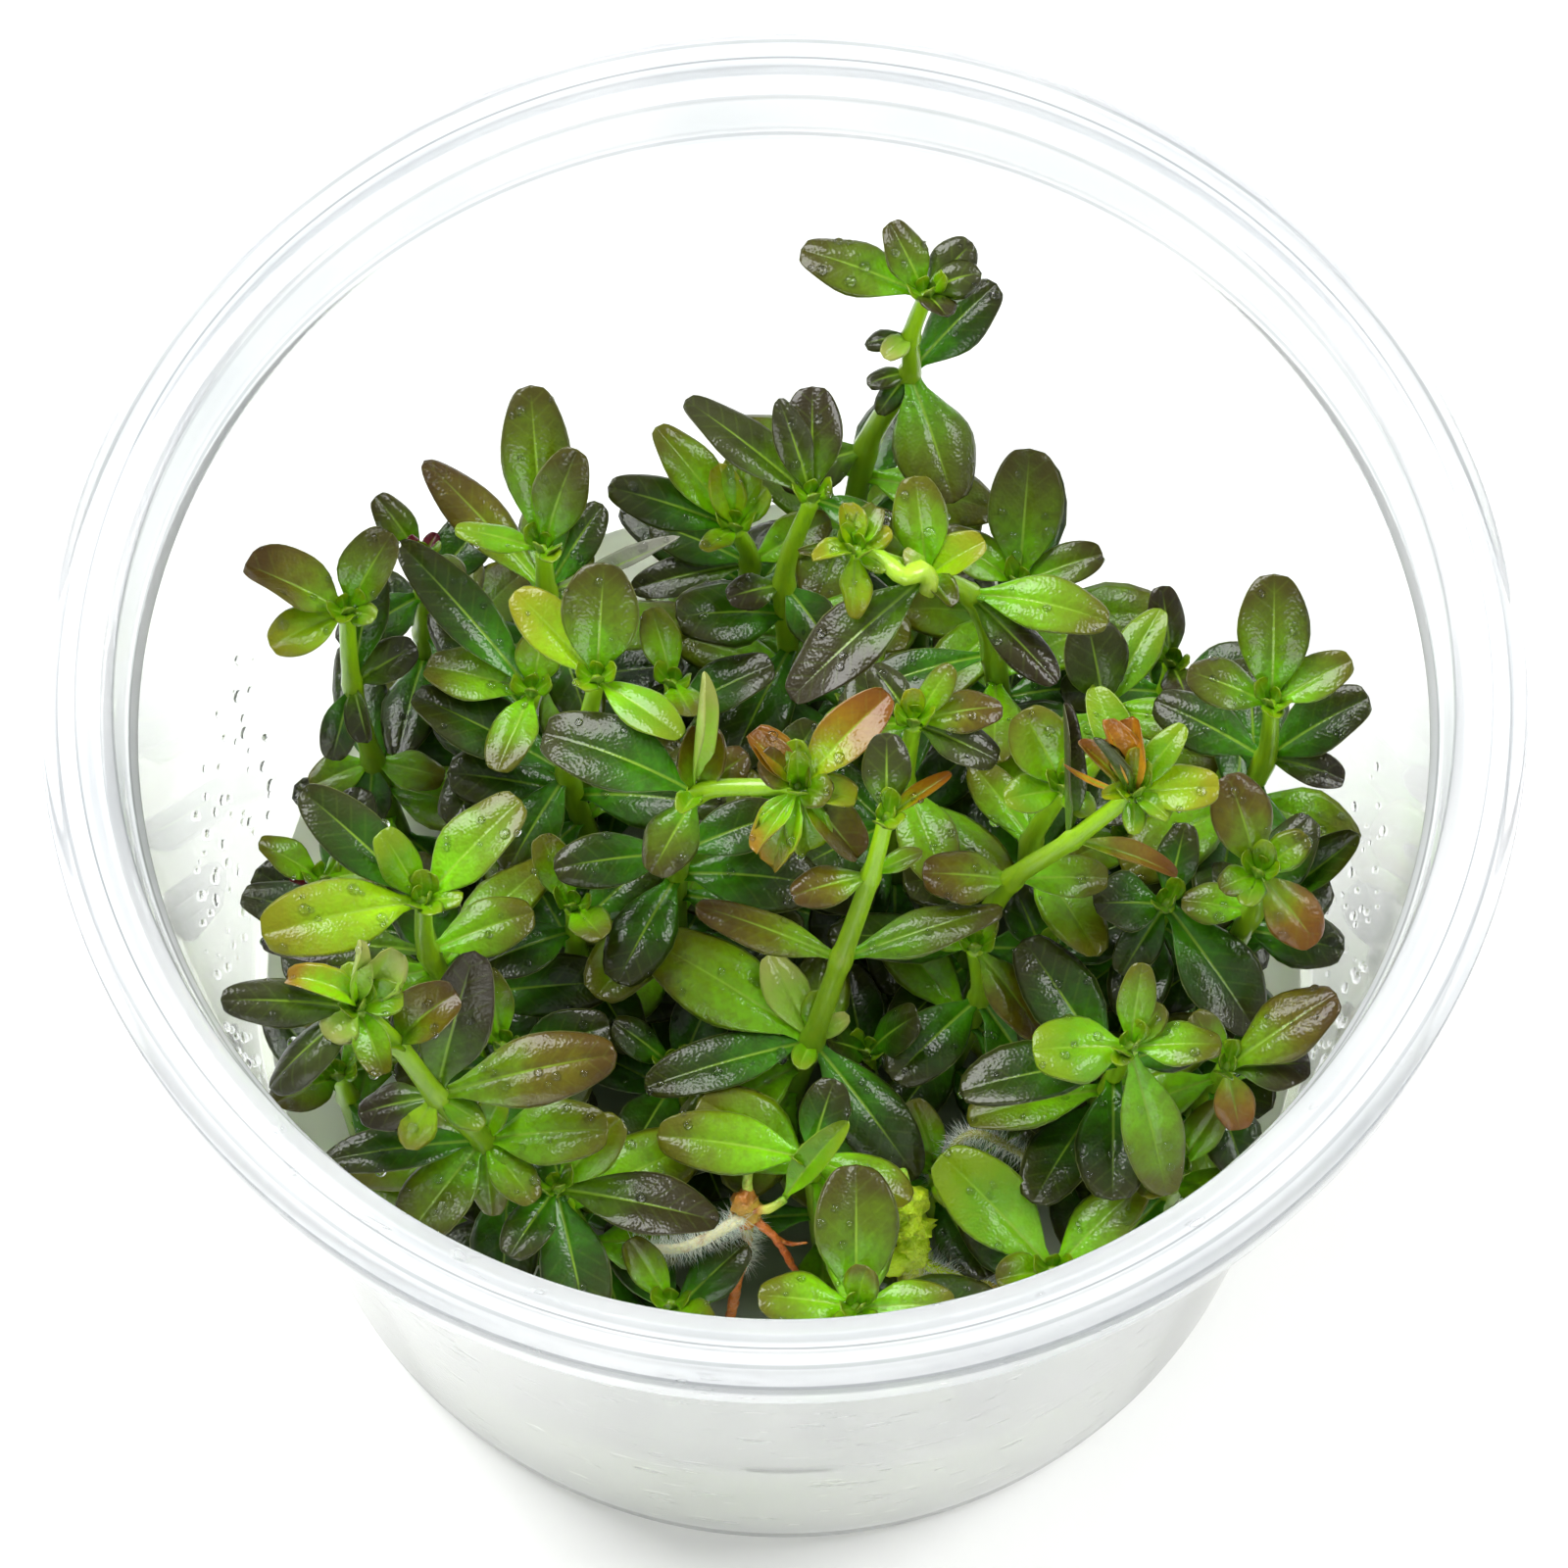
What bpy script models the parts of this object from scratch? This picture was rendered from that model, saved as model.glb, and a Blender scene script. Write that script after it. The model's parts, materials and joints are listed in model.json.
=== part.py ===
"""Rooted rotala shoots in a clear culture cup with a layer of gel.

The cup's foot is centred on the origin and stands on z = 0, X runs to the right and Y away
from the viewer. Heights, radii and places are in millimetres; the meshes are in metres.
"""

from __future__ import annotations

import math
from dataclasses import dataclass

import bmesh
import bpy
from mathutils import Vector
from mathutils.bvhtree import BVHTree

MM = 0.001
UP = Vector((0, 0, 1))

# The cup: one turned wall. Every radius follows from the rim, the foot and the wall.
CUP_HEIGHT = 75.0
RIM_RADIUS = 50.0
FOOT_RADIUS = 36.0
WALL = 0.8
FLOOR = 1.2
SHOULDER_HEIGHT = 69.0
SHOULDER_RADIUS = 44.7
COLLAR_DROP = 5.0
CUP_SIDES = 48

# The gel fills the bottom and keeps clear of the cup's faces.
GAP = 0.3
GEL_TOP = 22.0
MENISCUS = 0.5

# A stem is six-sided, so a leaf can leave it over any side of a node.
STEM_SIDES = 6
STEM_FOOT_RADIUS = 1.05
STEM_TIP_RADIUS = 0.65
NODE_SWELL = 1.15
NODE_HALF = 0.55
BUD = 1.4

# A leaf is a thin folded blade: where along it each station lies, and how wide it is there.
BLADE = ((0.28, 0.72), (0.64, 1.0), (0.92, 0.64))
SMALL_BLADE = ((0.40, 0.92), (0.84, 0.80))
SMALL_LEAF = 4.5
LEAF_THICK = 0.5
LEAF_FOLD = 0.10
LEAF_ROOM = 0.5
DROOP = 25.0

# How a leaf gives way to what grew before it: turns and lifts in degrees, then a shorter blade.
GIVE_STEPS = (0, 8, 16, 24, 32)
GIVE_LENGTHS = (1.0, 0.85, 0.7)


@dataclass(frozen=True)
class Leaf:
    """One leaf: its node on the stem, its direction in degrees and its size."""

    node: int
    turn: float
    rise: float
    length: float
    width: float
    droop: float = DROOP
    roll: float = 0.0


@dataclass(frozen=True)
class Shoot:
    """One shoot: its stem's points from the gel up, and its leaves."""

    name: str
    tint: str
    stem: tuple
    leaves: tuple


@dataclass(frozen=True)
class Root:
    """A loose root or a lump of callus: its points from the gel up with a radius at each."""

    name: str
    tint: str
    points: tuple
    radii: tuple
    side_roots: tuple


@dataclass(frozen=True)
class SideRoot:
    """A thin root that leaves another at one of its levels and runs out to a point."""

    level: int
    radius: float
    points: tuple


def loose_root(name, tint, rings, *side_roots):
    """A loose root from rows of x, y, height and radius, and its side roots."""
    points = tuple(Vector(row[:3]) for row in rings)
    return Root(name, tint, points, tuple(row[3] for row in rings), side_roots)


def side_root(level, radius, *points):
    """A side root from its level, its radius and its points."""
    return SideRoot(level, radius, tuple(Vector(point) for point in points))


def shoot(name, tint, stem, *leaves):
    """A shoot from its stem's points and one row for each leaf."""
    points = tuple(Vector(point) for point in stem)
    return Shoot(name, tint, points, tuple(Leaf(*row) for row in leaves))


# A young shoot's crossed pairs: how high on the stem, then the leaves' length, width and rise.
YOUNG_PAIRS = ((0.58, 9.0, 4.0, 5), (0.80, 8.5, 4.0, 20), (1.0, 6.0, 2.8, 40))
LOW_PAIRS = ((0.66, 9.0, 4.2, 0), (1.0, 7.0, 3.6, 35))


def young_shoot(name, tint, foot, top, turn, pairs=YOUNG_PAIRS):
    """A low shoot grown by rule: crossed pairs that shorten and rise towards the tip."""
    base, tip = Vector(foot), Vector(top)
    stem = [base]
    leaves = []
    for index, (share, length, width, rise) in enumerate(pairs, start=1):
        stem.append(base.lerp(tip, share))
        for side in (0, 180):
            leaves.append((index, turn + 90 * index + side, rise, length, width))
    return shoot(name, tint, stem, *leaves)


GROUND = GEL_TOP + GAP

# Each leaf row is: node, turn, rise, length, width, then droop and roll where they are not usual.
SHOOTS = (
    shoot("tall", "green", ((4, 27, GROUND), (6, 30.5, 48), (9, 32.5, 56), (9, 33, 60.5), (10, 34, 65)),
          (4, 160, 5, 9.5, 4.2), (4, 125, 40, 6, 3.2), (4, 45, 20, 5, 3.4), (3, 185, -10, 3.5, 1.8, 60),
          (2, 40, 25, 9, 4.2), (2, 290, -20, 10, 6.4), (2, 245, -30, 4.5, 2), (1, 200, -5, 7, 4.2)),
    shoot("back_left", "olive", ((-16, 17, GROUND), (-17, 18, 50), (-17, 18, 57)),
          (2, 95, 40, 12, 4.8), (2, 55, 45, 9.5, 3.8), (2, 170, 10, 6.5, 2.4), (2, 300, 60, 3, 1.6),
          (1, 135, 15, 13, 3.8), (1, 55, 20, 7.5, 3.2), (1, 85, 30, 11, 2.8)),
    shoot("left", "olive", ((-28, 9, GROUND), (-30, 10.5, 37), (-31, 12.5, 46), (-31, 14.5, 54)),
          (3, 160, 10, 8, 4.8), (3, 50, 40, 7, 4.2), (3, 205, 5, 6, 3.4), (3, 270, 55, 2.6, 1.6),
          (2, 25, 20, 5.5, 3), (2, 75, 45, 10, 3, 25, 35), (2, 250, -40, 6, 2.6),
          (1, 345, 0, 5.5, 3.2), (1, 265, -25, 5, 3.2), (1, 205, 0, 5, 3)),
    shoot("mid_left", "green", ((-12, 5, GROUND), (-15.5, 6, 45), (-14, 6, 53), (-13, 6.5, 60)),
          (3, 135, 15, 8.5, 3.6), (3, 85, 40, 8.5, 5.2), (3, 320, 10, 8, 3.2), (3, 230, 60, 2.6, 1.8),
          (1, 155, 10, 12.5, 4.8), (1, 235, -25, 8.5, 4)),
    shoot("long", "olive", ((-22, 10, GROUND), (-18, 11, 48)),
          (1, 135, 20, 14.5, 3.8), (1, 165, 0, 8, 4.2), (1, 75, 50, 5, 3.2), (1, 250, 5, 7, 3.4)),
    shoot("back_stem", "purple", ((2, 15, GROUND), (0, 20.5, 46), (2, 22.5, 56)),
          (2, 145, 15, 11.5, 3.8), (2, 90, 25, 8, 4.2), (2, 115, 45, 8, 2.8), (2, 335, 0, 6, 2.6),
          (1, 200, 10, 4.5, 2.8), (1, 310, -20, 5.5, 3.4)),
    shoot("back_mid", "green", ((-4, 24, GROUND), (-2.5, 25, 40), (-3.5, 24, 48)),
          (2, 135, 30, 9.5, 3.6), (2, 80, 45, 6.5, 3.2), (2, 170, 20, 10, 3.8), (2, 235, 45, 5, 2),
          (1, 160, 10, 8, 3.8), (1, 190, 0, 9, 3), (1, 20, 25, 7, 3.2)),
    shoot("curl", "yellow", ((17, 13, GROUND), (15, 14, 48), (13, 14.5, 57), (10, 14.5, 60), (5, 15, 63)),
          (4, 265, -35, 5, 2.8, 60), (4, 180, 0, 4.2, 1.4, 50), (4, 110, 40, 3.6, 2.6), (4, 20, 50, 3, 1.8),
          (3, 20, 30, 5, 3), (3, 100, 45, 7.5, 3.8), (3, 220, -15, 13, 5),
          (2, 345, 5, 10.5, 4, 45), (2, 315, -10, 9, 3.4), (1, 195, -10, 12, 3.2, 45)),
    shoot("back_fan", "olive", ((18, 22, GROUND), (17, 20.5, 46)),
          (1, 85, 35, 10, 5.2), (1, 15, 15, 6.5, 3), (1, 155, 30, 7, 3.4), (1, 270, 20, 6, 3)),
    shoot("right_back", "green", ((24, 11, GROUND), (23, 10.5, 46)),
          (1, 105, 40, 7, 4.6), (1, 60, 30, 8.5, 3.2), (1, 340, 20, 7.5, 3.6), (1, 225, 10, 7, 3.4)),
    shoot("amber", "amber", ((-8, -2, GROUND), (-7.5, -1.5, 48), (-6, -1.5, 58.5), (1, -2.5, 62)),
          (3, 42, 20, 9, 3.6), (3, 145, 40, 5.5, 2.4), (3, 100, 60, 4.2, 2), (3, 235, -20, 5.5, 2.6),
          (3, 315, -25, 6.5, 3.6),
          (2, 85, 50, 9.5, 2.6, 25, 40), (2, 157, 0, 12, 5.2, 45), (2, 237, -25, 6.5, 4),
          (1, 190, 5, 9, 4), (1, 20, 5, 8, 3.8)),
    shoot("mid", "amber", ((8, 4.5, GROUND), (8.5, 4, 48), (9, 3.2, 60)),
          (2, 130, 25, 5, 2.8), (2, 50, 35, 5, 2.4), (2, 10, 10, 6.5, 3.2, 50), (2, 340, -15, 6.5, 3.2),
          (1, 110, 10, 9, 4.4), (1, 290, 0, 8.5, 4)),
    shoot("pale_stem", "yellow",
          ((-1, -13.5, GROUND), (2, -12.6, 40), (4, -10, 49), (6, -7.4, 58), (7, -5.3, 63)),
          (4, 30, 20, 5.5, 1.8), (4, 90, 50, 6, 3.4), (4, 300, 55, 3, 1.8), (3, 200, 10, 6, 3),
          (3, 20, 25, 4, 1.6), (2, 162, 10, 11, 3.6), (2, 15, 10, 12, 3.8), (1, 120, 35, 7, 3.4),
          (1, 310, -20, 12.5, 5), (1, 195, -5, 12.5, 4), (1, 150, 10, 14, 6)),
    shoot("pink", "yellow",
          ((13, -2, GROUND), (14, -4.5, 40), (16, -4.8, 51), (20, -4.3, 57), (24, -3, 62)),
          (4, 0, 10, 6, 3.4), (4, 145, 30, 5.5, 2), (4, 90, 60, 4, 1.6), (4, 270, -10, 3, 1.6),
          (4, 110, 35, 8, 3), (4, 40, 30, 6, 2.2), (3, 350, -25, 8.5, 2, 45), (3, 95, 40, 10, 2.4, 25, 55),
          (2, 180, 10, 6.5, 4.4), (2, 5, -10, 7, 3)),
    shoot("bright", "green", ((18, 2, GROUND), (17.5, -1, 49), (19.5, -0.5, 57)),
          (2, 125, 35, 6.5, 4.2), (2, 195, 10, 4.5, 2.8), (2, 40, 50, 3.4, 1.8), (1, 128, 10, 7, 3.2)),
    shoot("right", "olive", ((30, 5, GROUND), (34, 4.5, 51), (34, 5.5, 58)),
          (2, 90, 40, 9.5, 4.8), (2, 163, 15, 6.5, 3.8), (2, 23, 30, 6.5, 3), (2, 270, 60, 2.6, 1.6),
          (1, 20, 25, 9, 4.2), (1, 345, -5, 6, 2.6, 50), (1, 150, 0, 9, 4.2)),
    shoot("right_low", "yellow", ((29, -5, GROUND), (33, -6, 48), (33, -6, 55)),
          (2, 112, 35, 7.5, 4.2), (2, 30, 35, 4.4, 2.6), (2, 210, 20, 3.6, 2.2), (2, 314, -25, 6.5, 4),
          (1, 55, 30, 8, 4), (1, 30, 25, 9.5, 4, -30), (1, 170, 0, 6, 3.4)),
    shoot("round", "purple", ((24, -5, GROUND), (27, -5, 47)),
          (1, 186, 15, 5.5, 4.6), (1, 308, -20, 11, 5.4), (1, 235, -20, 6, 3), (1, 75, 30, 6, 3)),
    shoot("amber_low", "amber", ((11, -10, GROUND), (14, -8.5, 38), (13.5, -7.5, 45)),
          (2, 311, -25, 8, 3.6, 45), (2, 160, 20, 4, 2.6), (2, 60, 50, 3, 1.8),
          (1, 305, -15, 12, 5.6), (1, 225, 0, 9, 4.6)),
    shoot("dark_mid", "purple", ((20, -9, GROUND), (18.5, -7, 42)),
          (1, 18, 15, 9, 4.8), (1, 130, 20, 8, 4), (1, 270, 10, 8.5, 4)),
    shoot("right_front", "green", ((21, -14.5, GROUND), (24, -17, 50)),
          (1, 186, 10, 7, 5.2), (1, 290, -45, 12, 4.2), (1, 0, 5, 6.5, 3.4), (1, 80, 45, 6.5, 2.6),
          (1, 55, 55, 4.5, 2.4), (1, 235, 50, 2.6, 1.6)),
    shoot("rim_right", "olive", ((29, -12, GROUND), (31, -17, 46)),
          (1, 28, 25, 9.5, 4.8), (1, 355, 0, 7, 4.2), (1, 283, -25, 4.5, 2.8), (1, 130, 40, 5, 2.6)),
    shoot("front_right", "green", ((20, -29, GROUND), (19, -28.5, 36)),
          (1, 136, 15, 11.5, 5.2), (1, 41, 20, 9, 4.2), (1, 200, 20, 5, 3), (1, 320, 40, 5, 3)),
    shoot("left_low", "yellow", ((-21, -7, GROUND), (-25, -9, 48), (-25, -8.5, 56)),
          (2, 195, 5, 11.5, 5.2), (2, 130, 50, 6.5, 3.2), (2, 140, 15, 11.5, 4), (2, 40, 25, 10, 4.6),
          (2, 300, 60, 3, 1.8), (1, 175, -5, 12, 3.6), (1, 20, 5, 8, 4)),
    shoot("curly", "purple",
          ((-16, -20, GROUND), (-21, -22, 45), (-24, -21, 51), (-26.5, -19.5, 57), (-29, -18, 60)),
          (4, 182, 5, 9.5, 3.8), (4, 218, -20, 8.5, 4.4, 50), (4, 85, 50, 5.5, 2, 60),
          (4, 293, -40, 5, 2.8), (4, 135, 55, 3.2, 2), (3, 32, 30, 6, 4.2, 60),
          (2, 10, 10, 13, 5), (2, 186, -20, 6, 3.6), (2, 68, 50, 12, 4.8, 20, 20),
          (1, 232, -10, 9, 4.8), (1, 190, 5, 11.5, 3.4), (1, 165, 25, 4.4, 2.6), (1, 277, -30, 5.5, 2.8),
          (1, 308, -15, 6, 3), (1, 357, 20, 9.5, 4.6)),
    shoot("front_left", "purple", ((-12, -25, GROUND), (-16, -24.5, 42)),
          (1, 346, 5, 12, 4.6), (1, 284, -20, 10.5, 4.6), (1, 40, 30, 7, 3.6), (1, 240, 10, 6.5, 3.4)),
    shoot("front", "green", ((5, -31, GROUND), (5, -34, 44)),
          (1, 176, 10, 7, 4.4), (1, 357, 10, 7, 3.8), (1, 70, 60, 4, 2.6), (1, 90, 25, 10, 5.6)),
    shoot("low_mid", "green", ((3, -22, GROUND), (1.8, -21.5, 40)),
          (1, 173, 5, 11, 4.4), (1, 70, 30, 6, 3.6), (1, 330, 15, 8.5, 4)),
    young_shoot("fill_back_left", "olive", (-27, 20, GROUND), (-26, 21, 49), 45),
    young_shoot("fill_back", "green", (-9, 11, GROUND), (-8, 13, 45), 20),
    young_shoot("fill_back_right", "olive", (10, 22, GROUND), (10, 24, 42), 60),
    young_shoot("fill_right", "purple", (27, 14, GROUND), (28, 15, 44), 10),
    young_shoot("fill_left", "green", (-31, -1, GROUND), (-33, -1, 42), 75),
    young_shoot("fill_mid_left", "green", (-15, -4, GROUND), (-15, -4, 44), 30),
    young_shoot("fill_middle", "green", (-7, -13, GROUND), (-8, -13, 36), 65),
    young_shoot("fill_low_left", "green", (-20, -14, GROUND), (-20, -13, 40), 15),
    young_shoot("fill_front_left", "olive", (-7, -29, GROUND), (-8, -31, 36), 40),
    young_shoot("fill_front", "green", (11, -20, GROUND), (11, -20, 33), 25),
    young_shoot("fill_right_front", "green", (27, -20, GROUND), (28, -21.5, 38), 320),
    young_shoot("fill_low", "green", (6, -12, GROUND), (6, -12, 36), 10, LOW_PAIRS),
    young_shoot("fill_back_mid", "green", (5, 13, GROUND), (5, 13, 42), 80, LOW_PAIRS),
    young_shoot("fill_edge_left", "olive", (-31, -13, GROUND), (-32, -13, 34), 40, LOW_PAIRS),
    young_shoot("fill_centre", "green", (-1, 4, GROUND), (-1, 4, 44), 55, LOW_PAIRS),
    young_shoot("fill_right_mid", "olive", (24, 3, GROUND), (25, 3, 40), 35, LOW_PAIRS),
)

# Loose roots stand in the gel at the front: a rusty one with a crown, and a lump of callus.
ROOTS = (
    loose_root("root_crown", "rusty_root",
         ((-4.5, -30, GROUND, 0.4), (-3.4, -27.4, 30, 0.45), (-2.6, -25.2, 35, 0.6),
          (-2.6, -24.8, 36.2, 1.1), (-2.6, -24.4, 37.6, 1.2), (-2.6, -23.8, 38.6, 0.7),
          (-2.6, -22.6, 39.6, 0.5)),
         side_root(2, 0.42, (-4.5, -25.8, 36.8), (-6.9, -26.7, 36), (-9, -26.6, 35.3), (-10.9, -25.9, 35)),
         side_root(3, 0.36, (-0.6, -26, 35.6), (0.6, -26.9, 32.6), (1.2, -27, 30.4)),
         side_root(4, 0.36, (-1, -24.6, 38.6), (1.2, -24.7, 38.4))),
    loose_root("root_callus", "callus",
         ((9, -28, GROUND, 0.6), (9.2, -26.6, 30, 0.8), (9.4, -26, 31.6, 1.6), (9.2, -25.8, 33, 1.3),
          (9.3, -25, 34.6, 1.7), (9, -24.4, 36, 1.2), (8.8, -23.6, 37.4, 1.3), (8.7, -23.2, 38.2, 0.6)),
         side_root(2, 0.45, (11.4, -26.8, 31), (13.4, -27, 29.8), (15.5, -27.2, 28.5), (16.8, -27, 27)),
         side_root(3, 0.6, (7.4, -26.6, 32.4), (6.7, -26.9, 31.6))),
)

TINTS = {
    "green": (0.10, 0.30, 0.04),
    "olive": (0.13, 0.17, 0.04),
    "purple": (0.11, 0.07, 0.07),
    "yellow": (0.32, 0.46, 0.06),
    "amber": (0.42, 0.20, 0.05),
}
ROOT_TINTS = {
    "rusty_root": (0.48, 0.20, 0.06),
    "callus": (0.55, 0.66, 0.12),
}


def clear_scene():
    """Remove every object that is in the scene."""
    for thing in list(bpy.data.objects):
        bpy.data.objects.remove(thing)


def material(name, colour, roughness, alpha=1.0):
    """A plain Principled material."""
    made = bpy.data.materials.new(name)
    made.use_nodes = True
    shader = made.node_tree.nodes["Principled BSDF"]
    shader.inputs["Base Color"].default_value = (*colour, 1)
    shader.inputs["Roughness"].default_value = roughness
    shader.inputs["Metallic"].default_value = 0
    shader.inputs["Alpha"].default_value = alpha
    return made


def add_object(name, bm, finish, crease=35):
    """Put a finished mesh into the scene, in metres, with smooth rounds and sharp edges."""
    bmesh.ops.scale(bm, vec=(MM, MM, MM), verts=bm.verts)
    mesh = bpy.data.meshes.new(name)
    bm.to_mesh(mesh)
    bm.free()
    mesh.shade_smooth()
    mesh.set_sharp_from_angle(angle=math.radians(crease))
    mesh.materials.append(finish)
    made = bpy.data.objects.new(name, mesh)
    bpy.context.scene.collection.objects.link(made)
    return made


def turned(name, profile, finish):
    """Turn a profile of (radius, height) points about Z; its ends stand on the axis."""
    bm = bmesh.new()
    corners = [bm.verts.new((radius, 0, height)) for radius, height in profile]
    for first, second in zip(corners, corners[1:]):
        bm.edges.new((first, second))
    bmesh.ops.spin(bm, geom=bm.verts[:] + bm.edges[:], cent=(0, 0, 0), axis=UP,
                   angle=math.tau, steps=CUP_SIDES, use_merge=True)
    bmesh.ops.remove_doubles(bm, verts=bm.verts, dist=MM)
    bmesh.ops.recalc_face_normals(bm, faces=bm.faces)
    return add_object(name, bm, finish)


def inner_wall(height):
    """The radius of the cup's inner face at a height."""
    share = (height - 2 * FLOOR) / (SHOULDER_HEIGHT - 2 * FLOOR)
    return FOOT_RADIUS + WALL + share * (SHOULDER_RADIUS - WALL - FOOT_RADIUS - WALL)


def cup_profile():
    """The cup's section: up the outside, over the rim, and down the inside."""
    rim_top = CUP_HEIGHT - 0.7
    collar_foot = CUP_HEIGHT - COLLAR_DROP
    outside = [
        (0, 0),
        (FOOT_RADIUS, 0),
        (FOOT_RADIUS + 2 * WALL, 2 * WALL),
        (SHOULDER_RADIUS, SHOULDER_HEIGHT),
        (SHOULDER_RADIUS + WALL, SHOULDER_HEIGHT + 1),
        (SHOULDER_RADIUS + 1.3, CUP_HEIGHT - 1.4),
    ]
    flange = [
        (RIM_RADIUS - 1.1, CUP_HEIGHT - 1),
        (RIM_RADIUS - 1, collar_foot),
        (RIM_RADIUS - 0.3, collar_foot),
        (RIM_RADIUS, rim_top),
        (RIM_RADIUS - 0.6, CUP_HEIGHT),
        (RIM_RADIUS - 2.6, CUP_HEIGHT),
        (RIM_RADIUS - 3.5, rim_top),
        (RIM_RADIUS - 4.9, CUP_HEIGHT - 1),
    ]
    inside = [
        (SHOULDER_RADIUS - 0.1, SHOULDER_HEIGHT + 1.2),
        (SHOULDER_RADIUS - WALL, SHOULDER_HEIGHT),
        (FOOT_RADIUS + WALL, 2 * FLOOR),
        (FOOT_RADIUS - 0.6, FLOOR),
        (0, FLOOR),
    ]
    return outside + flange + inside


def gel_profile():
    """The gel's section: it follows the cup's inside and climbs a little at its edge."""
    clear = GAP + 0.1
    shelf = 1.5
    return [
        (0, FLOOR + GAP),
        (FOOT_RADIUS - 0.6 - clear, FLOOR + GAP),
        (FOOT_RADIUS + WALL - clear, 2 * FLOOR + GAP),
        (inner_wall(GEL_TOP) - clear, GEL_TOP + MENISCUS),
        (inner_wall(GEL_TOP) - clear - shelf, GEL_TOP),
        (0, GEL_TOP),
    ]


def leaf_frames(leaf, foot, stations):
    """Where a blade's middle runs: a place, an across and an up direction for each station."""
    turn, roll = math.radians(leaf.turn), math.radians(leaf.roll)
    outward = Vector((math.cos(turn), math.sin(turn), 0))
    sweep = math.radians(leaf.droop)
    start = math.radians(leaf.rise) + sweep / 2
    frames = []
    for share in stations:
        pitch = start - sweep * share
        reach = leaf.length * (math.sin(start) - math.sin(pitch)) / sweep
        climb = leaf.length * (math.cos(pitch) - math.cos(start)) / sweep
        up = UP * math.cos(pitch) - outward * math.sin(pitch)
        across = UP.cross(outward)
        side = across * math.cos(roll) + up * math.sin(roll)
        face = up * math.cos(roll) - across * math.sin(roll)
        frames.append((foot + outward * reach + UP * climb, side, face))
    return frames


def blade_loops(leaf, foot, thick=LEAF_THICK):
    """The blade's sections, each as one edge, underside, other edge and top, and its tip."""
    shape = SMALL_BLADE if leaf.length < SMALL_LEAF else BLADE
    frames = leaf_frames(leaf, foot, [share for share, _ in shape] + [1.0])
    loops = []
    for (place, side, face), (_, share) in zip(frames, shape):
        half = side * (leaf.width * share / 2)
        lift = face * (leaf.width * share * LEAF_FOLD)
        loops.append((place - half + lift, place - face * thick / 2,
                      place + half + lift, place + face * thick / 2))
    return loops, frames[-1][0]


def stem_radius(owner, index):
    """The stem's radius at one of its points: it thins towards the tip."""
    share = index / (len(owner.stem) - 1)
    return STEM_FOOT_RADIUS + share * (STEM_TIP_RADIUS - STEM_FOOT_RADIUS)


def stem_tangent(points, index):
    """The direction of a stem or a root at one of its points."""
    before, after = max(index - 1, 0), min(index + 1, len(points) - 1)
    return (points[after] - points[before]).normalized()


def stem_loops(owner):
    """The stem's rings from the gel up, two at each node, with one side under the first leaf."""
    rings = []
    for index, point in enumerate(owner.stem):
        along = stem_tangent(owner.stem, index)
        first = next((leaf.turn for leaf in owner.leaves if leaf.node == index), 0)
        shifts = (-NODE_HALF, NODE_HALF) if index else (0,)
        swell = NODE_SWELL if index else 1
        for shift in shifts:
            rings.append(ring_about(point + along * shift, along, stem_radius(owner, index) * swell, first))
    return rings


def ring_about(centre, along, radius, turn=0):
    """A ring of corners about a stem, with the middle of one of its sides towards a turn."""
    heading = math.radians(turn)
    ahead = Vector((math.cos(heading), math.sin(heading), 0))
    ahead = (ahead - along * ahead.dot(along)).normalized()
    across = along.cross(ahead)
    corners = []
    for side in range(STEM_SIDES):
        angle = math.tau * (side - 0.5) / STEM_SIDES
        corners.append(centre + (ahead * math.cos(angle) + across * math.sin(angle)) * radius)
    return corners


def build_tube(bm, places, tip):
    """Make a closed tube that ends in a point, and return the sides of each of its levels."""
    rings = [[bm.verts.new(place) for place in ring] for ring in matched(places)]
    levels = []
    for low, high in zip(rings, rings[1:]):
        sides = []
        for side in range(STEM_SIDES):
            other = (side + 1) % STEM_SIDES
            sides.append(bm.faces.new((low[side], low[other], high[other], high[side])))
        levels.append(sides)
    bm.faces.new(tuple(reversed(rings[0])))
    point = bm.verts.new(tip)
    for side in range(STEM_SIDES):
        bm.faces.new((rings[-1][side], rings[-1][(side + 1) % STEM_SIDES], point))
    return levels


def build_stem(bm, owner):
    """Make a stem with its bud, and return the sides of each node."""
    last = len(owner.stem) - 1
    bud = owner.stem[last] + stem_tangent(owner.stem, last) * (NODE_HALF + BUD)
    levels = build_tube(bm, stem_loops(owner), bud)
    return {index: levels[2 * index - 1] for index in range(1, last + 1)}


def matched(rings):
    """Renumber each ring so that its corners stand nearest over those of the ring below."""
    settled = [rings[0]]
    for ring in rings[1:]:
        below = settled[-1]
        shift = mean(ring) - mean(below)
        turns = [ring[step:] + ring[:step] for step in range(STEM_SIDES)]
        settled.append(min(turns, key=lambda turn: sum(
            (corner - foot - shift).length for corner, foot in zip(turn, below))))
    return settled


def mean(points):
    """The middle of some points."""
    return sum(points, Vector()) / len(points)


def grow(bm, sides, centre, loops, tip):
    """Extrude a blade or a side root out of the side of a stem that faces its way."""
    heading = (mean(loops[0]) - centre).normalized()
    face = max(sides, key=lambda side: (side.calc_center_median() - centre).normalized().dot(heading))
    sides.remove(face)
    for loop in loops:
        grown = bmesh.ops.extrude_discrete_faces(bm, faces=[face])
        face = grown["faces"][0]
        for corner, place in zip(face.verts, loop):
            corner.co = place
    bmesh.ops.pointmerge(bm, verts=face.verts[:], merge_co=tip)


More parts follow.
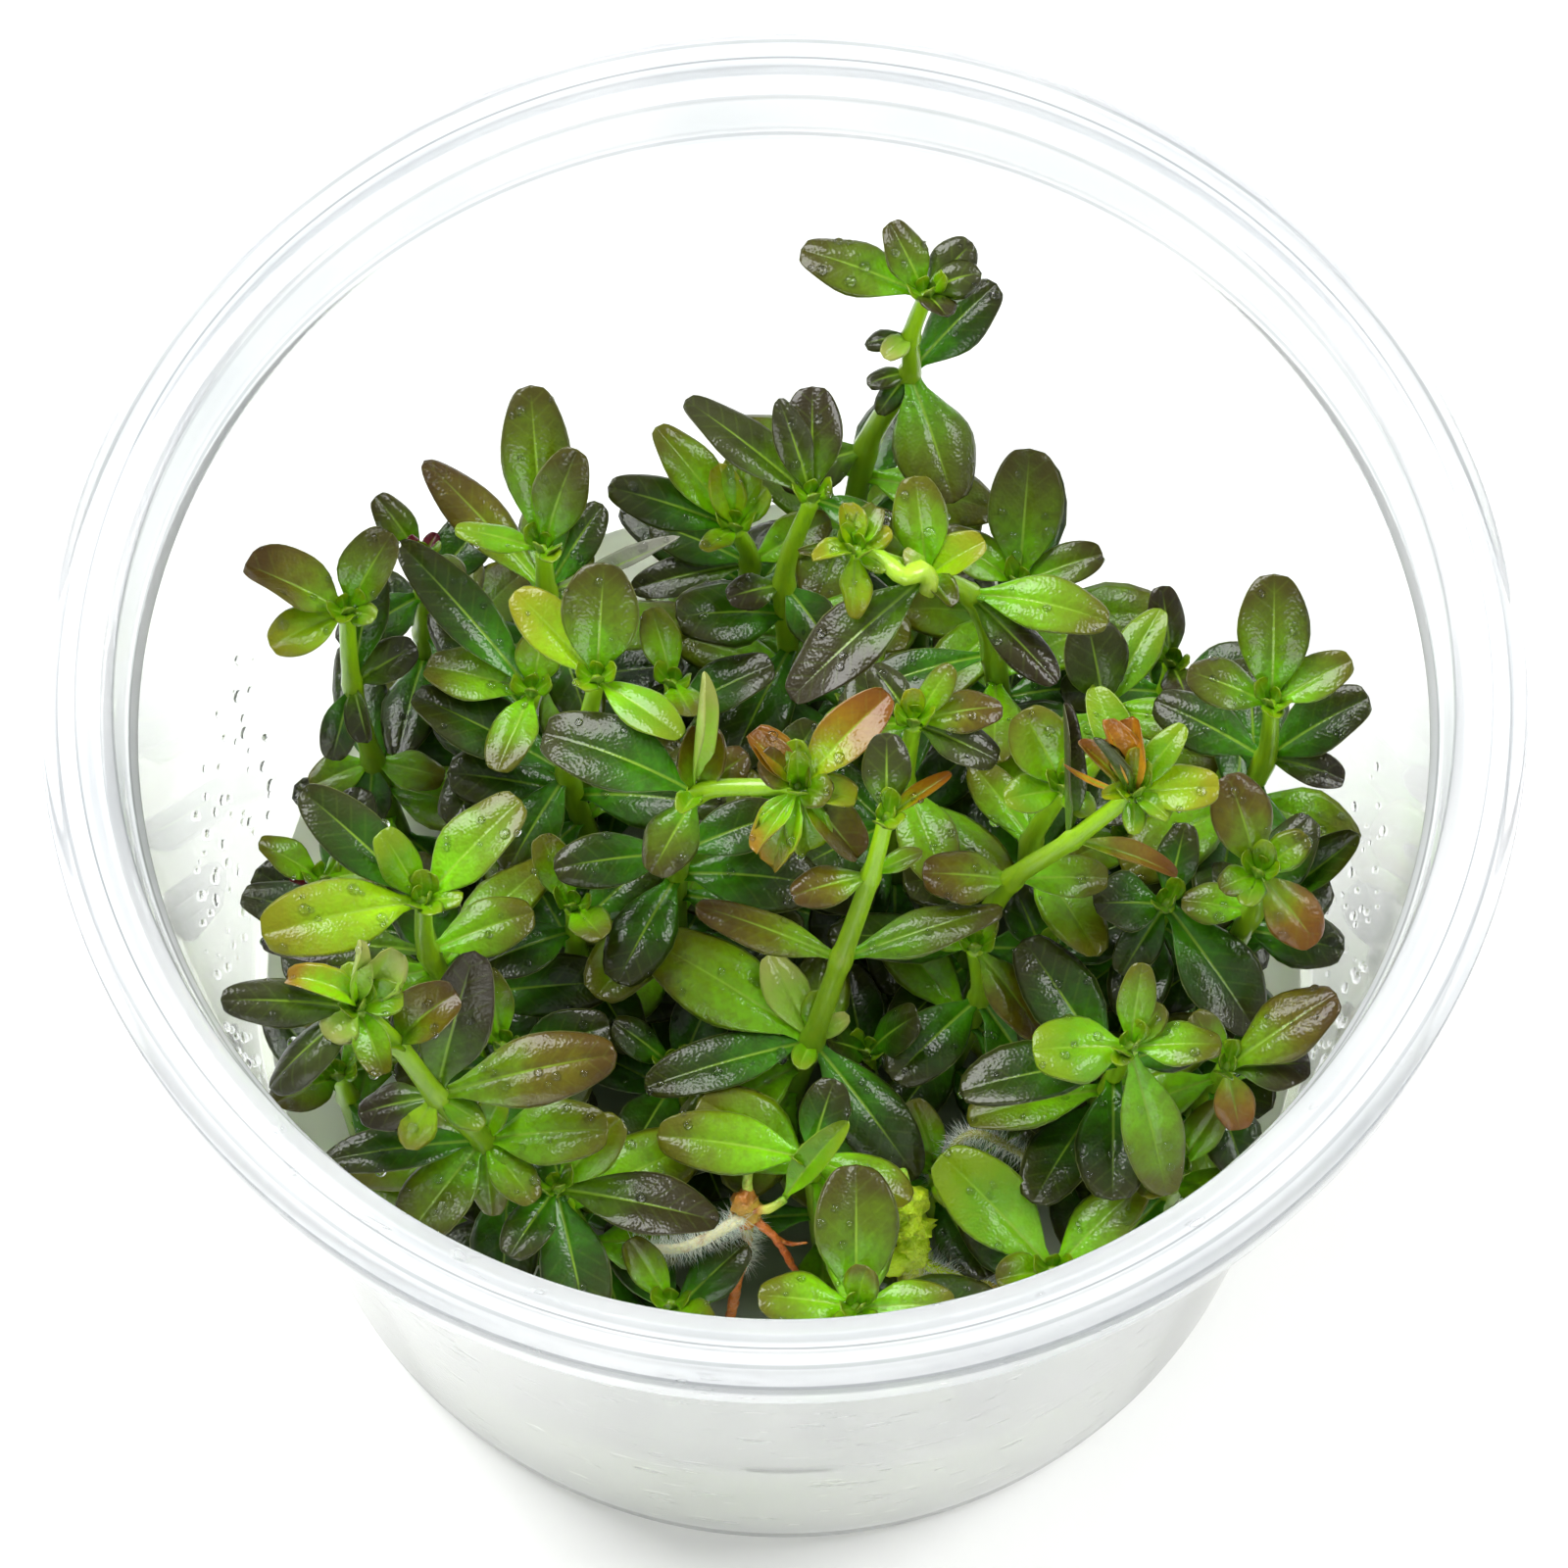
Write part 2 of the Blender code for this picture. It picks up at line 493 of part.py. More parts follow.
def blade_tree(leaf, foot, from_stem):
    """A search tree of a blade with room about it, from its stem or from its first station."""
    loops, tip = blade_loops(leaf, foot, LEAF_THICK + LEAF_ROOM)
    if from_stem:
        loops = [tuple(foot.lerp(corner, 0.3) for corner in loops[0])] + loops
    places = [corner for loop in loops for corner in loop] + [tip]
    faces = []
    for level in range(len(loops) - 1):
        for side in range(4):
            other = (side + 1) % 4
            low, high = 4 * level, 4 * level + 4
            faces.append((low + side, low + other, high + other, high + side))
    last = 4 * (len(loops) - 1)
    faces += [(last + side, last + (side + 1) % 4, len(places) - 1) for side in range(4)]
    faces.append((3, 2, 1, 0))
    return BVHTree.FromPolygons(places, faces), places


def tree_of(build, owner):
    """A search tree of a stem or a loose root."""
    bm = bmesh.new()
    build(bm, owner)
    tree = BVHTree.FromBMesh(bm)
    bm.free()
    return tree


def given_way(leaf):
    """A leaf's own shape, then the ones that it may give way to, the nearest first."""
    choices = []
    for length in GIVE_LENGTHS:
        for turn in GIVE_STEPS:
            for rise in GIVE_STEPS:
                for turn_sign, rise_sign in ((1, 1), (-1, 1), (1, -1), (-1, -1)):
                    cost = turn + rise + 60 * (1 - length)
                    choices.append((cost, turn_sign * turn, rise_sign * rise, length))
    choices.sort(key=lambda choice: choice[0])
    for _, turn, rise, length in choices:
        yield Leaf(leaf.node, leaf.turn + turn, leaf.rise + rise, leaf.length * length,
                   leaf.width * length ** 0.5, leaf.droop, leaf.roll)


def inside_cup(places):
    """Whether every place is over the gel and within the wall."""
    for place in places:
        if place.z < GROUND + GAP or place.z > CUP_HEIGHT - GAP:
            return False
        if math.hypot(place.x, place.y) > inner_wall(place.z) - 2 * GAP:
            return False
    return True


def settle(shoots, roots):
    """Give each leaf a clear place, from the first shoot to the last."""
    stems = {owner.name: tree_of(build_stem, owner) for owner in shoots}
    stems.update({owner.name: tree_of(build_root, owner) for owner in roots})
    grown = []
    settled = []
    for owner in shoots:
        kept = []
        for leaf in owner.leaves:
            foot = owner.stem[leaf.node]
            for choice in given_way(leaf):
                blade, places = blade_tree(choice, foot, from_stem=False)
                whole, _ = blade_tree(choice, foot, from_stem=True)
                if not inside_cup(places) or blade.overlap(stems[owner.name]):
                    continue
                if any(whole.overlap(tree) for name, tree in stems.items() if name != owner.name):
                    continue
                near = [other for other in grown if (other[2] - places[-1]).length < 30]
                if any((blade if name == owner.name else whole).overlap(tree) for name, tree, _ in near):
                    continue
                kept.append(choice)
                grown.append((owner.name, whole, places[-1]))
                break
            else:
                print("no clear place for a leaf of", owner.name, leaf)
        settled.append(Shoot(owner.name, owner.tint, owner.stem, tuple(kept)))
    return settled


def build_root(bm, owner):
    """Make a loose root: a bumpy tube with its side roots grown out of it."""
    rings = [ring_about(point, stem_tangent(owner.points, index), owner.radii[index])
             for index, point in enumerate(owner.points)]
    last = len(owner.points) - 1
    levels = build_tube(bm, rings, owner.points[-1] + stem_tangent(owner.points, last) * owner.radii[-1])
    for branch in owner.side_roots:
        centre = (owner.points[branch.level] + owner.points[branch.level + 1]) / 2
        path = (centre, *branch.points)
        loops = []
        for index in range(1, len(path) - 1):
            along = stem_tangent(path, index)
            side = UP.cross(along).normalized() * branch.radius
            face = along.cross(side)
            loops.append((path[index] - side, path[index] - face, path[index] + side, path[index] + face))
        grow(bm, levels[branch.level], centre, loops, path[-1])


def build_shoot(owner, finish):
    """Make one shoot: a stem with each of its leaves grown out of a node."""
    bm = bmesh.new()
    nodes = build_stem(bm, owner)
    for leaf in owner.leaves:
        centre = owner.stem[leaf.node]
        grow(bm, nodes[leaf.node], centre, *blade_loops(leaf, centre))
    return add_object("shoot_" + owner.name, bm, finish)


def main():
    """Build the cup, the gel, the loose roots and the shoots."""
    clear_scene()
    clear_plastic = material("clear_plastic", (0.93, 0.95, 0.95), 0.12, alpha=0.35)
    culture_gel = material("culture_gel", (0.82, 0.87, 0.76), 0.25)
    leaf_finishes = {tint: material("leaf_" + tint, colour, 0.3) for tint, colour in TINTS.items()}
    root_finishes = {tint: material(tint, colour, 0.45) for tint, colour in ROOT_TINTS.items()}
    turned("cup", cup_profile(), clear_plastic)
    turned("gel", gel_profile(), culture_gel)
    for owner in ROOTS:
        bm = bmesh.new()
        build_root(bm, owner)
        add_object(owner.name, bm, root_finishes[owner.tint])
    for owner in settle(SHOOTS, ROOTS):
        build_shoot(owner, leaf_finishes[owner.tint])


main()
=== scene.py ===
"""Rooted rotala shoots in a clear culture cup: the looks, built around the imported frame.

Sizes and places are in millimetres, as in the part's source, until a mesh is made in metres.
"""

import json
import logging
import math
from collections.abc import Iterable, Iterator, Sequence
from dataclasses import dataclass, field, replace
from enum import Enum

import bpy
import numpy as np
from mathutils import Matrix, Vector, noise
from mathutils.bvhtree import BVHTree
from mathutils.kdtree import KDTree


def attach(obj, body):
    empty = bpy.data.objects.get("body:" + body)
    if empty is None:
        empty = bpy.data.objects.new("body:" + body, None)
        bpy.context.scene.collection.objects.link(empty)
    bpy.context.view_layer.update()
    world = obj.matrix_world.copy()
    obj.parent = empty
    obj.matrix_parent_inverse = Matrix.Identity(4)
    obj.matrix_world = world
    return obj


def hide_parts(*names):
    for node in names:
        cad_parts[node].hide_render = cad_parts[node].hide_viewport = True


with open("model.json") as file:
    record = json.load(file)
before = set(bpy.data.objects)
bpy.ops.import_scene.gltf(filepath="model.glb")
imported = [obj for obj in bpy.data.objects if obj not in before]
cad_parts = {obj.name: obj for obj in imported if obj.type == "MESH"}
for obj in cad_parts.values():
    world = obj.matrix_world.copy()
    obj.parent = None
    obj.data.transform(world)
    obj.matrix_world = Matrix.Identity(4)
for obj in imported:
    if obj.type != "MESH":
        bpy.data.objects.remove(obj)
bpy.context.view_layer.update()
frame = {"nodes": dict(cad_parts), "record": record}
log = logging.getLogger("rotala")

MM = 0.001
UP = Vector((0, 0, 1))
BODY = "root"

# Driving sizes, as in the part's source.
CUP_HEIGHT = 75.0
RIM_RADIUS = 50.0
FOOT_RADIUS = 36.0
FOOT_INSET = 0.6
WALL = 0.8
FLOOR = 1.2
SHOULDER_HEIGHT = 69.0
SHOULDER_RADIUS = 44.7
COLLAR_DROP = 5.0
GAP = 0.3
GEL_TOP = 22.0
GROUND = GEL_TOP + GAP
STEM_FOOT_RADIUS = 1.05
STEM_TIP_RADIUS = 0.65
DROOP = 25.0
GIVE_STEPS = (0, 8, 16, 24, 32)
GIVE_LENGTHS = (1.0, 0.85, 0.7)
SHORTENING_COST = 60

Span = tuple[float, float]
Triple = tuple[float, float, float]
Colour = tuple[float, float, float]
Socket = bpy.types.NodeSocket
Material = bpy.types.Material
Piece = bpy.types.Object


def linear(*levels: float) -> Colour:
    """A colour of 0 to 255 display levels as linear light.

    Args:
        levels: Red, green and blue display levels.

    Returns:
        The linear red, green and blue.
    """
    shares = [level / 255 for level in levels]
    return tuple(share / 12.92 if share <= 0.04045 else ((share + 0.055) / 1.055) ** 2.4 for share in shares)


def metres(sizes: Iterable[float]) -> Iterator[float]:
    """Sizes in millimetres as metres."""
    return (size * MM for size in sizes)


class Tint(Enum):
    """A leaf's letter in the tables, then its colours beside the stem, on its body and at its tip."""

    GREEN = "g", (122, 200, 0), (104, 150, 0), (86, 88, 2)
    BRIGHT = "b", (122, 190, 0), (92, 146, 0), (112, 140, 2)
    YELLOW = "y", (146, 200, 0), (126, 164, 0), (126, 128, 2)
    OLIVE = "o", (98, 168, 0), (82, 106, 0), (60, 58, 2)
    BROWN = "n", (110, 164, 0), (94, 90, 0), (70, 52, 2)
    ORANGE = "r", (138, 184, 0), (132, 100, 0), (116, 70, 2)
    PURPLE = "p", (82, 128, 0), (48, 48, 8), (42, 36, 12)
    GREY = "k", (80, 122, 0), (52, 62, 12), (46, 48, 16)
    DARK = "d", (62, 132, 0), (38, 72, 0), (44, 48, 2)
    SILVER = "s", (152, 206, 50), (140, 180, 52), (152, 160, 76)
    PINK = "i", (146, 184, 20), (138, 110, 14), (120, 74, 16)
    # A pale grey that paints the silver sheen of a leaf seen edge-on into its colour.
    BLEACHED = "w", (118, 136, 84), (132, 138, 116), (140, 140, 128)
    BLUSH = "a", (134, 208, 0), (118, 172, 2), (140, 106, 10)
    DEAD = "x", (214, 168, 50), (202, 144, 30), (144, 88, 16)
    RED = "m", (110, 70, 30), (116, 24, 40), (96, 14, 34)

    def __init__(self, letter: str, *levels: Triple) -> None:
        """Keep the letter, and the colours as linear light.

        Args:
            letter: What stands for the tint in the tables.
            levels: Its three colours in display levels.
        """
        self.letter = letter
        self.colours = tuple(linear(*level) for level in levels)


TINTS = {tint.letter: tint for tint in Tint}


@dataclass(frozen=True)
class Leaf:
    """One leaf: its node on the stem, its direction in degrees, its size and its tint.

    A cup above 0 curls its sides up and one below 0 curls them down; cup and twist are in radians.
    """

    node: int
    turn: float
    rise: float
    length: float
    width: float
    droop: float = DROOP
    roll: float = 0.0
    cup: float = 0.0
    twist: float = 0.0
    tint: Tint = Tint.GREEN


@dataclass(frozen=True)
class Shoot:
    """One shoot: its stem's points from the gel up, and its leaves."""

    name: str
    stem: tuple[Vector, ...]
    leaves: tuple[Leaf, ...]


def shoot(name: str, tints: str, stem: Sequence[Sequence[float]], *rows: Sequence[float]) -> Shoot:
    """A shoot from its stem's points, a tint letter for each leaf, and one row for each leaf.

    Args:
        name: What its node is called after "shoot_".
        tints: One tint's letter for each leaf.
        stem: The stem's points, the first without its height, which is the ground's.
        rows: Each leaf's node, turn, rise, length, width, droop and roll.

    Returns:
        The shoot.
    """
    leaves = tuple(Leaf(*row, tint=TINTS[letter]) for row, letter in zip(rows, tints, strict=True))
    foot, *points = stem
    return Shoot(name, (Vector((*foot, GROUND)), *map(Vector, points)), leaves)


# A young shoot's crossed pairs: how high on the stem, then the leaves' length, width and rise.
YOUNG_PAIRS = ((0.58, 9.0, 4.0, 5), (0.80, 8.5, 4.0, 20), (1.0, 6.0, 2.8, 40))
LOW_PAIRS = ((0.66, 9.0, 4.2, 0), (1.0, 7.0, 3.6, 35))


def young_shoot(name: str, tints: str, foot: Sequence[float], top: Sequence[float], turn: float,
                pairs: Sequence[Sequence[float]] = YOUNG_PAIRS) -> Shoot:
    """A low shoot grown by rule: crossed pairs that shorten and rise towards the tip.

    Args:
        name: What its node is called after "shoot_".
        tints: One tint's letter for each pair.
        foot: Where it leaves the gel, without the height.
        top: Its tip.
        turn: The direction of its lowest pair, a quarter turn on.
        pairs: The pairs' places and sizes.

    Returns:
        The shoot.
    """
    base, tip = Vector((*foot, GROUND)), Vector(top)
    stem = [foot]
    rows = []
    for index, (share, length, width, rise) in enumerate(pairs, start=1):
        stem.append(base.lerp(tip, share))
        for side in (0, 180):
            rows.append((index, turn + 90 * index + side, rise, length, width))
    return shoot(name, "".join(letter * 2 for letter in tints), stem, *rows)


# Each leaf row is: node, turn, rise, length, width, then droop and roll where they are not usual.
SHOOTS = (
    shoot("tall", "ookkdodp",
          ((4, 27), (6, 30.5, 48), (9, 32.5, 56), (9, 33, 60.5), (10, 34, 65)),
          (4, 160, 5, 9.5, 4.2), (4, 125, 40, 6, 3.2), (4, 45, 20, 5, 3.4), (3, 185, -10, 3.5, 1.8, 60),
          (2, 40, 25, 9, 4.2), (2, 290, -20, 10, 6.4), (2, 245, -30, 4.5, 2), (1, 200, -5, 7, 4.2)),
    shoot("back_left", "oobbndd", ((-16, 17), (-17, 18, 50), (-17, 18, 57)),
          (2, 95, 40, 12, 4.8), (2, 55, 45, 9.5, 3.8), (2, 170, 10, 6.5, 2.4), (2, 300, 60, 3, 1.6),
          (1, 135, 15, 13, 3.8), (1, 55, 20, 7.5, 3.2), (1, 85, 30, 11, 2.8)),
    shoot("left", "noybkddgdg", ((-28, 9), (-30, 10.5, 37), (-31, 12.5, 46), (-31, 14.5, 54)),
          (3, 160, 10, 8, 4.8), (3, 50, 40, 7, 4.2), (3, 205, 5, 6, 3.4), (3, 270, 55, 2.6, 1.6),
          (2, 25, 20, 5.5, 3), (2, 75, 45, 10, 3, 25, 35), (2, 250, -40, 6, 2.6),
          (1, 345, 0, 5.5, 3.2), (1, 265, -25, 5, 3.2), (1, 205, 0, 5, 3)),
    shoot("mid_left", "yobbdd", ((-12, 5), (-15.5, 6, 45), (-14, 6, 53), (-13, 6.5, 60)),
          (3, 135, 15, 8.5, 3.6), (3, 85, 40, 8.5, 5.2), (3, 320, 10, 8, 3.2), (3, 230, 60, 2.6, 1.8),
          (1, 155, 10, 12.5, 4.8), (1, 235, -25, 8.5, 4)),
    shoot("long", "dggg", ((-22, 10), (-18, 11, 48)),
          (1, 135, 20, 14.5, 3.8), (1, 165, 0, 8, 4.2), (1, 75, 50, 5, 3.2), (1, 250, 5, 7, 3.4)),
    shoot("back_stem", "kpkdpd", ((2, 15), (0, 20.5, 46), (2, 22.5, 56)),
          (2, 145, 15, 11.5, 3.8), (2, 90, 25, 8, 4.2), (2, 115, 45, 8, 2.8), (2, 335, 0, 6, 2.6),
          (1, 200, 10, 4.5, 2.8), (1, 310, -20, 5.5, 3.4)),
    shoot("back_mid", "ggdgdkg", ((-4, 24), (-2.5, 25, 40), (-3.5, 24, 48)),
          (2, 135, 30, 9.5, 3.6), (2, 80, 45, 6.5, 3.2), (2, 170, 20, 10, 3.8), (2, 235, 45, 5, 2),
          (1, 160, 10, 8, 3.8), (1, 190, 0, 9, 3), (1, 20, 25, 7, 3.2)),
    shoot("curl", "ygyyygpgpd",
          ((17, 13), (15, 14, 48), (13, 14.5, 57), (10, 14.5, 60), (5, 15, 63)),
          (4, 265, -35, 5, 2.8, 60), (4, 180, 0, 4.2, 1.4, 50), (4, 110, 40, 3.6, 2.6), (4, 20, 50, 3, 1.8),
          (3, 20, 30, 5, 3), (3, 100, 45, 7.5, 3.8), (3, 220, -15, 13, 5),
          (2, 345, 5, 10.5, 4, 45), (2, 315, -10, 9, 3.4), (1, 195, -10, 12, 3.2, 45)),
    shoot("back_fan", "oogg", ((18, 22), (17, 20.5, 46)),
          (1, 85, 35, 10, 5.2), (1, 15, 15, 6.5, 3), (1, 155, 30, 7, 3.4), (1, 270, 20, 6, 3)),
    shoot("right_back", "kbgg", ((24, 11), (23, 10.5, 46)),
          (1, 105, 40, 7, 4.6), (1, 60, 30, 8.5, 3.2), (1, 340, 20, 7.5, 3.6), (1, 225, 10, 7, 3.4)),
    shoot("amber", "rrbansdodd", ((-8, -2), (-7.5, -1.5, 48), (-6, -1.5, 58.5), (1, -2.5, 62)),
          (3, 42, 20, 9, 3.6), (3, 145, 40, 5.5, 2.4), (3, 100, 60, 4.2, 2), (3, 235, -20, 5.5, 2.6),
          (3, 315, -25, 6.5, 3.6),
          (2, 85, 50, 9.5, 2.6, 25, 40), (2, 157, 0, 12, 5.2, 45), (2, 237, -25, 6.5, 4),
          (1, 190, 5, 9, 4), (1, 20, 5, 8, 3.8)),
    shoot("mid", "kgnkdg", ((8, 4.5), (8.5, 4, 48), (9, 3.2, 60)),
          (2, 130, 25, 5, 2.8), (2, 50, 35, 5, 2.4), (2, 10, 10, 6.5, 3.2, 50), (2, 340, -15, 6.5, 3.2),
          (1, 110, 10, 9, 4.4), (1, 290, 0, 8.5, 4)),
    shoot("pale_stem", "rkbngnosddg",
          ((-1, -13.5), (2, -12.6, 40), (4, -10, 49), (6, -7.4, 58), (7, -5.3, 63)),
          (4, 30, 20, 5.5, 1.8), (4, 90, 50, 6, 3.4), (4, 300, 55, 3, 1.8), (3, 200, 10, 6, 3),
          (3, 20, 25, 4, 1.6), (2, 162, 10, 11, 3.6), (2, 15, 10, 12, 3.8), (1, 120, 35, 7, 3.4),
          (1, 310, -20, 12.5, 5), (1, 195, -5, 12.5, 4), (1, 150, 10, 14, 6)),
    shoot("pink", "yiybbbipng",
          ((13, -2), (14, -4.5, 40), (16, -4.8, 51), (20, -4.3, 57), (24, -3, 62)),
          (4, 0, 10, 6, 3.4), (4, 145, 30, 5.5, 2), (4, 90, 60, 4, 1.6), (4, 270, -10, 3, 1.6),
          (4, 110, 35, 8, 3), (4, 40, 30, 6, 2.2), (3, 350, -25, 8.5, 2, 45), (3, 95, 40, 10, 2.4, 25, 55),
          (2, 180, 10, 6.5, 4.4), (2, 5, -10, 7, 3)),
    shoot("bright", "gbbg", ((18, 2), (17.5, -1, 49), (19.5, -0.5, 57)),
          (2, 125, 35, 6.5, 4.2), (2, 195, 10, 4.5, 2.8), (2, 40, 50, 3.4, 1.8), (1, 128, 10, 7, 3.2)),
    shoot("right", "oogbdpd", ((30, 5), (34, 4.5, 51), (34, 5.5, 58)),
          (2, 90, 40, 9.5, 4.8), (2, 163, 15, 6.5, 3.8), (2, 23, 30, 6.5, 3), (2, 270, 60, 2.6, 1.6),
          (1, 20, 25, 9, 4.2), (1, 345, -5, 6, 2.6, 50), (1, 150, 0, 9, 4.2)),
    shoot("right_low", "nggrddg", ((29, -5), (33, -6, 48), (33, -6, 55)),
          (2, 112, 35, 7.5, 4.2), (2, 30, 35, 4.4, 2.6), (2, 210, 20, 3.6, 2.2), (2, 314, -25, 6.5, 4),
          (1, 55, 30, 8, 4), (1, 30, 25, 9.5, 4, -30), (1, 170, 0, 6, 3.4)),
    shoot("round", "dddd", ((24, -5), (27, -5, 47)),
          (1, 186, 15, 5.5, 4.6), (1, 308, -20, 11, 5.4), (1, 235, -20, 6, 3), (1, 75, 30, 6, 3)),
    shoot("amber_low", "nggdd", ((11, -10), (14, -8.5, 38), (13.5, -7.5, 45)),
          (2, 311, -25, 8, 3.6, 45), (2, 160, 20, 4, 2.6), (2, 60, 50, 3, 1.8),
          (1, 305, -15, 12, 5.6), (1, 225, 0, 9, 4.6)),
    shoot("dark_mid", "ddd", ((20, -9), (18.5, -7, 42)),
          (1, 18, 15, 9, 4.8), (1, 130, 20, 8, 4), (1, 270, 10, 8.5, 4)),
    shoot("right_front", "bggggb", ((21, -14.5), (24, -17, 50)),
          (1, 186, 10, 7, 5.2), (1, 290, -45, 12, 4.2), (1, 0, 5, 6.5, 3.4), (1, 80, 45, 6.5, 2.6),
          (1, 55, 55, 4.5, 2.4), (1, 235, 50, 2.6, 1.6)),
    shoot("rim_right", "npig", ((29, -12), (31, -17, 46)),
          (1, 28, 25, 9.5, 4.8), (1, 355, 0, 7, 4.2), (1, 283, -25, 4.5, 2.8), (1, 130, 40, 5, 2.6)),
    shoot("front_right", "bggb", ((20, -29), (19, -28.5, 36)),
          (1, 136, 15, 11.5, 5.2), (1, 41, 20, 9, 4.2), (1, 200, 20, 5, 3), (1, 320, 40, 5, 3)),
    shoot("left_low", "ybdgbpg", ((-21, -7), (-25, -9, 48), (-25, -8.5, 56)),
          (2, 195, 5, 11.5, 5.2), (2, 130, 50, 6.5, 3.2), (2, 140, 15, 11.5, 4), (2, 40, 25, 10, 4.6),
          (2, 300, 60, 3, 1.8), (1, 175, -5, 12, 3.6), (1, 20, 5, 8, 4)),
    shoot("curly", "kksgbnnppodgggg",
          ((-16, -20), (-21, -22, 45), (-24, -21, 51), (-26.5, -19.5, 57), (-29, -18, 60)),
          (4, 182, 5, 9.5, 3.8), (4, 218, -20, 8.5, 4.4, 50), (4, 85, 50, 5.5, 2, 60),
          (4, 293, -40, 5, 2.8), (4, 135, 55, 3.2, 2), (3, 32, 30, 6, 4.2, 60),
          (2, 10, 10, 13, 5), (2, 186, -20, 6, 3.6), (2, 68, 50, 12, 4.8, 20, 20),
          (1, 232, -10, 9, 4.8), (1, 190, 5, 11.5, 3.4), (1, 165, 25, 4.4, 2.6), (1, 277, -30, 5.5, 2.8),
          (1, 308, -15, 6, 3), (1, 357, 20, 9.5, 4.6)),
    shoot("front_left", "pdgd", ((-12, -25), (-16, -24.5, 42)),
          (1, 346, 5, 12, 4.6), (1, 284, -20, 10.5, 4.6), (1, 40, 30, 7, 3.6), (1, 240, 10, 6.5, 3.4)),
    shoot("front", "gggo", ((5, -31), (5, -34, 44)),
          (1, 176, 10, 7, 4.4), (1, 357, 10, 7, 3.8), (1, 70, 60, 4, 2.6), (1, 90, 25, 10, 5.6)),
    shoot("low_mid", "gdg", ((3, -22), (1.8, -21.5, 40)),
          (1, 173, 5, 11, 4.4), (1, 70, 30, 6, 3.6), (1, 330, 15, 8.5, 4)),
    young_shoot("fill_back_left", "ddo", (-27, 20), (-26, 21, 49), 45),
    young_shoot("fill_back", "ddg", (-9, 11), (-8, 13, 45), 20),
    young_shoot("fill_back_right", "dgo", (10, 22), (10, 24, 42), 60),
    young_shoot("fill_right", "ddp", (27, 14), (28, 15, 44), 10),
    young_shoot("fill_left", "ddg", (-31, -1), (-33, -1, 42), 75),
    young_shoot("fill_mid_left", "ddg", (-15, -4), (-15, -4, 44), 30),
    young_shoot("fill_middle", "ddd", (-7, -13), (-8, -13, 36), 65),
    young_shoot("fill_low_left", "ddg", (-20, -14), (-20, -13, 40), 15),
    young_shoot("fill_front_left", "ddg", (-7, -29), (-8, -31, 36), 40),
    young_shoot("fill_front", "ddg", (11, -20), (11, -20, 33), 25),
    young_shoot("fill_right_front", "dgg", (27, -20), (28, -21.5, 38), 320),
    young_shoot("fill_low", "dd", (6, -12), (6, -12, 36), 10, LOW_PAIRS),
    young_shoot("fill_back_mid", "dg", (5, 13), (5, 13, 42), 80, LOW_PAIRS),
    young_shoot("fill_edge_left", "do", (-31, -13), (-32, -13, 34), 40, LOW_PAIRS),
    young_shoot("fill_centre", "dd", (-1, 4), (-1, 4, 44), 55, LOW_PAIRS),
    young_shoot("fill_right_mid", "dg", (24, 3), (25, 3, 40), 35, LOW_PAIRS),
)


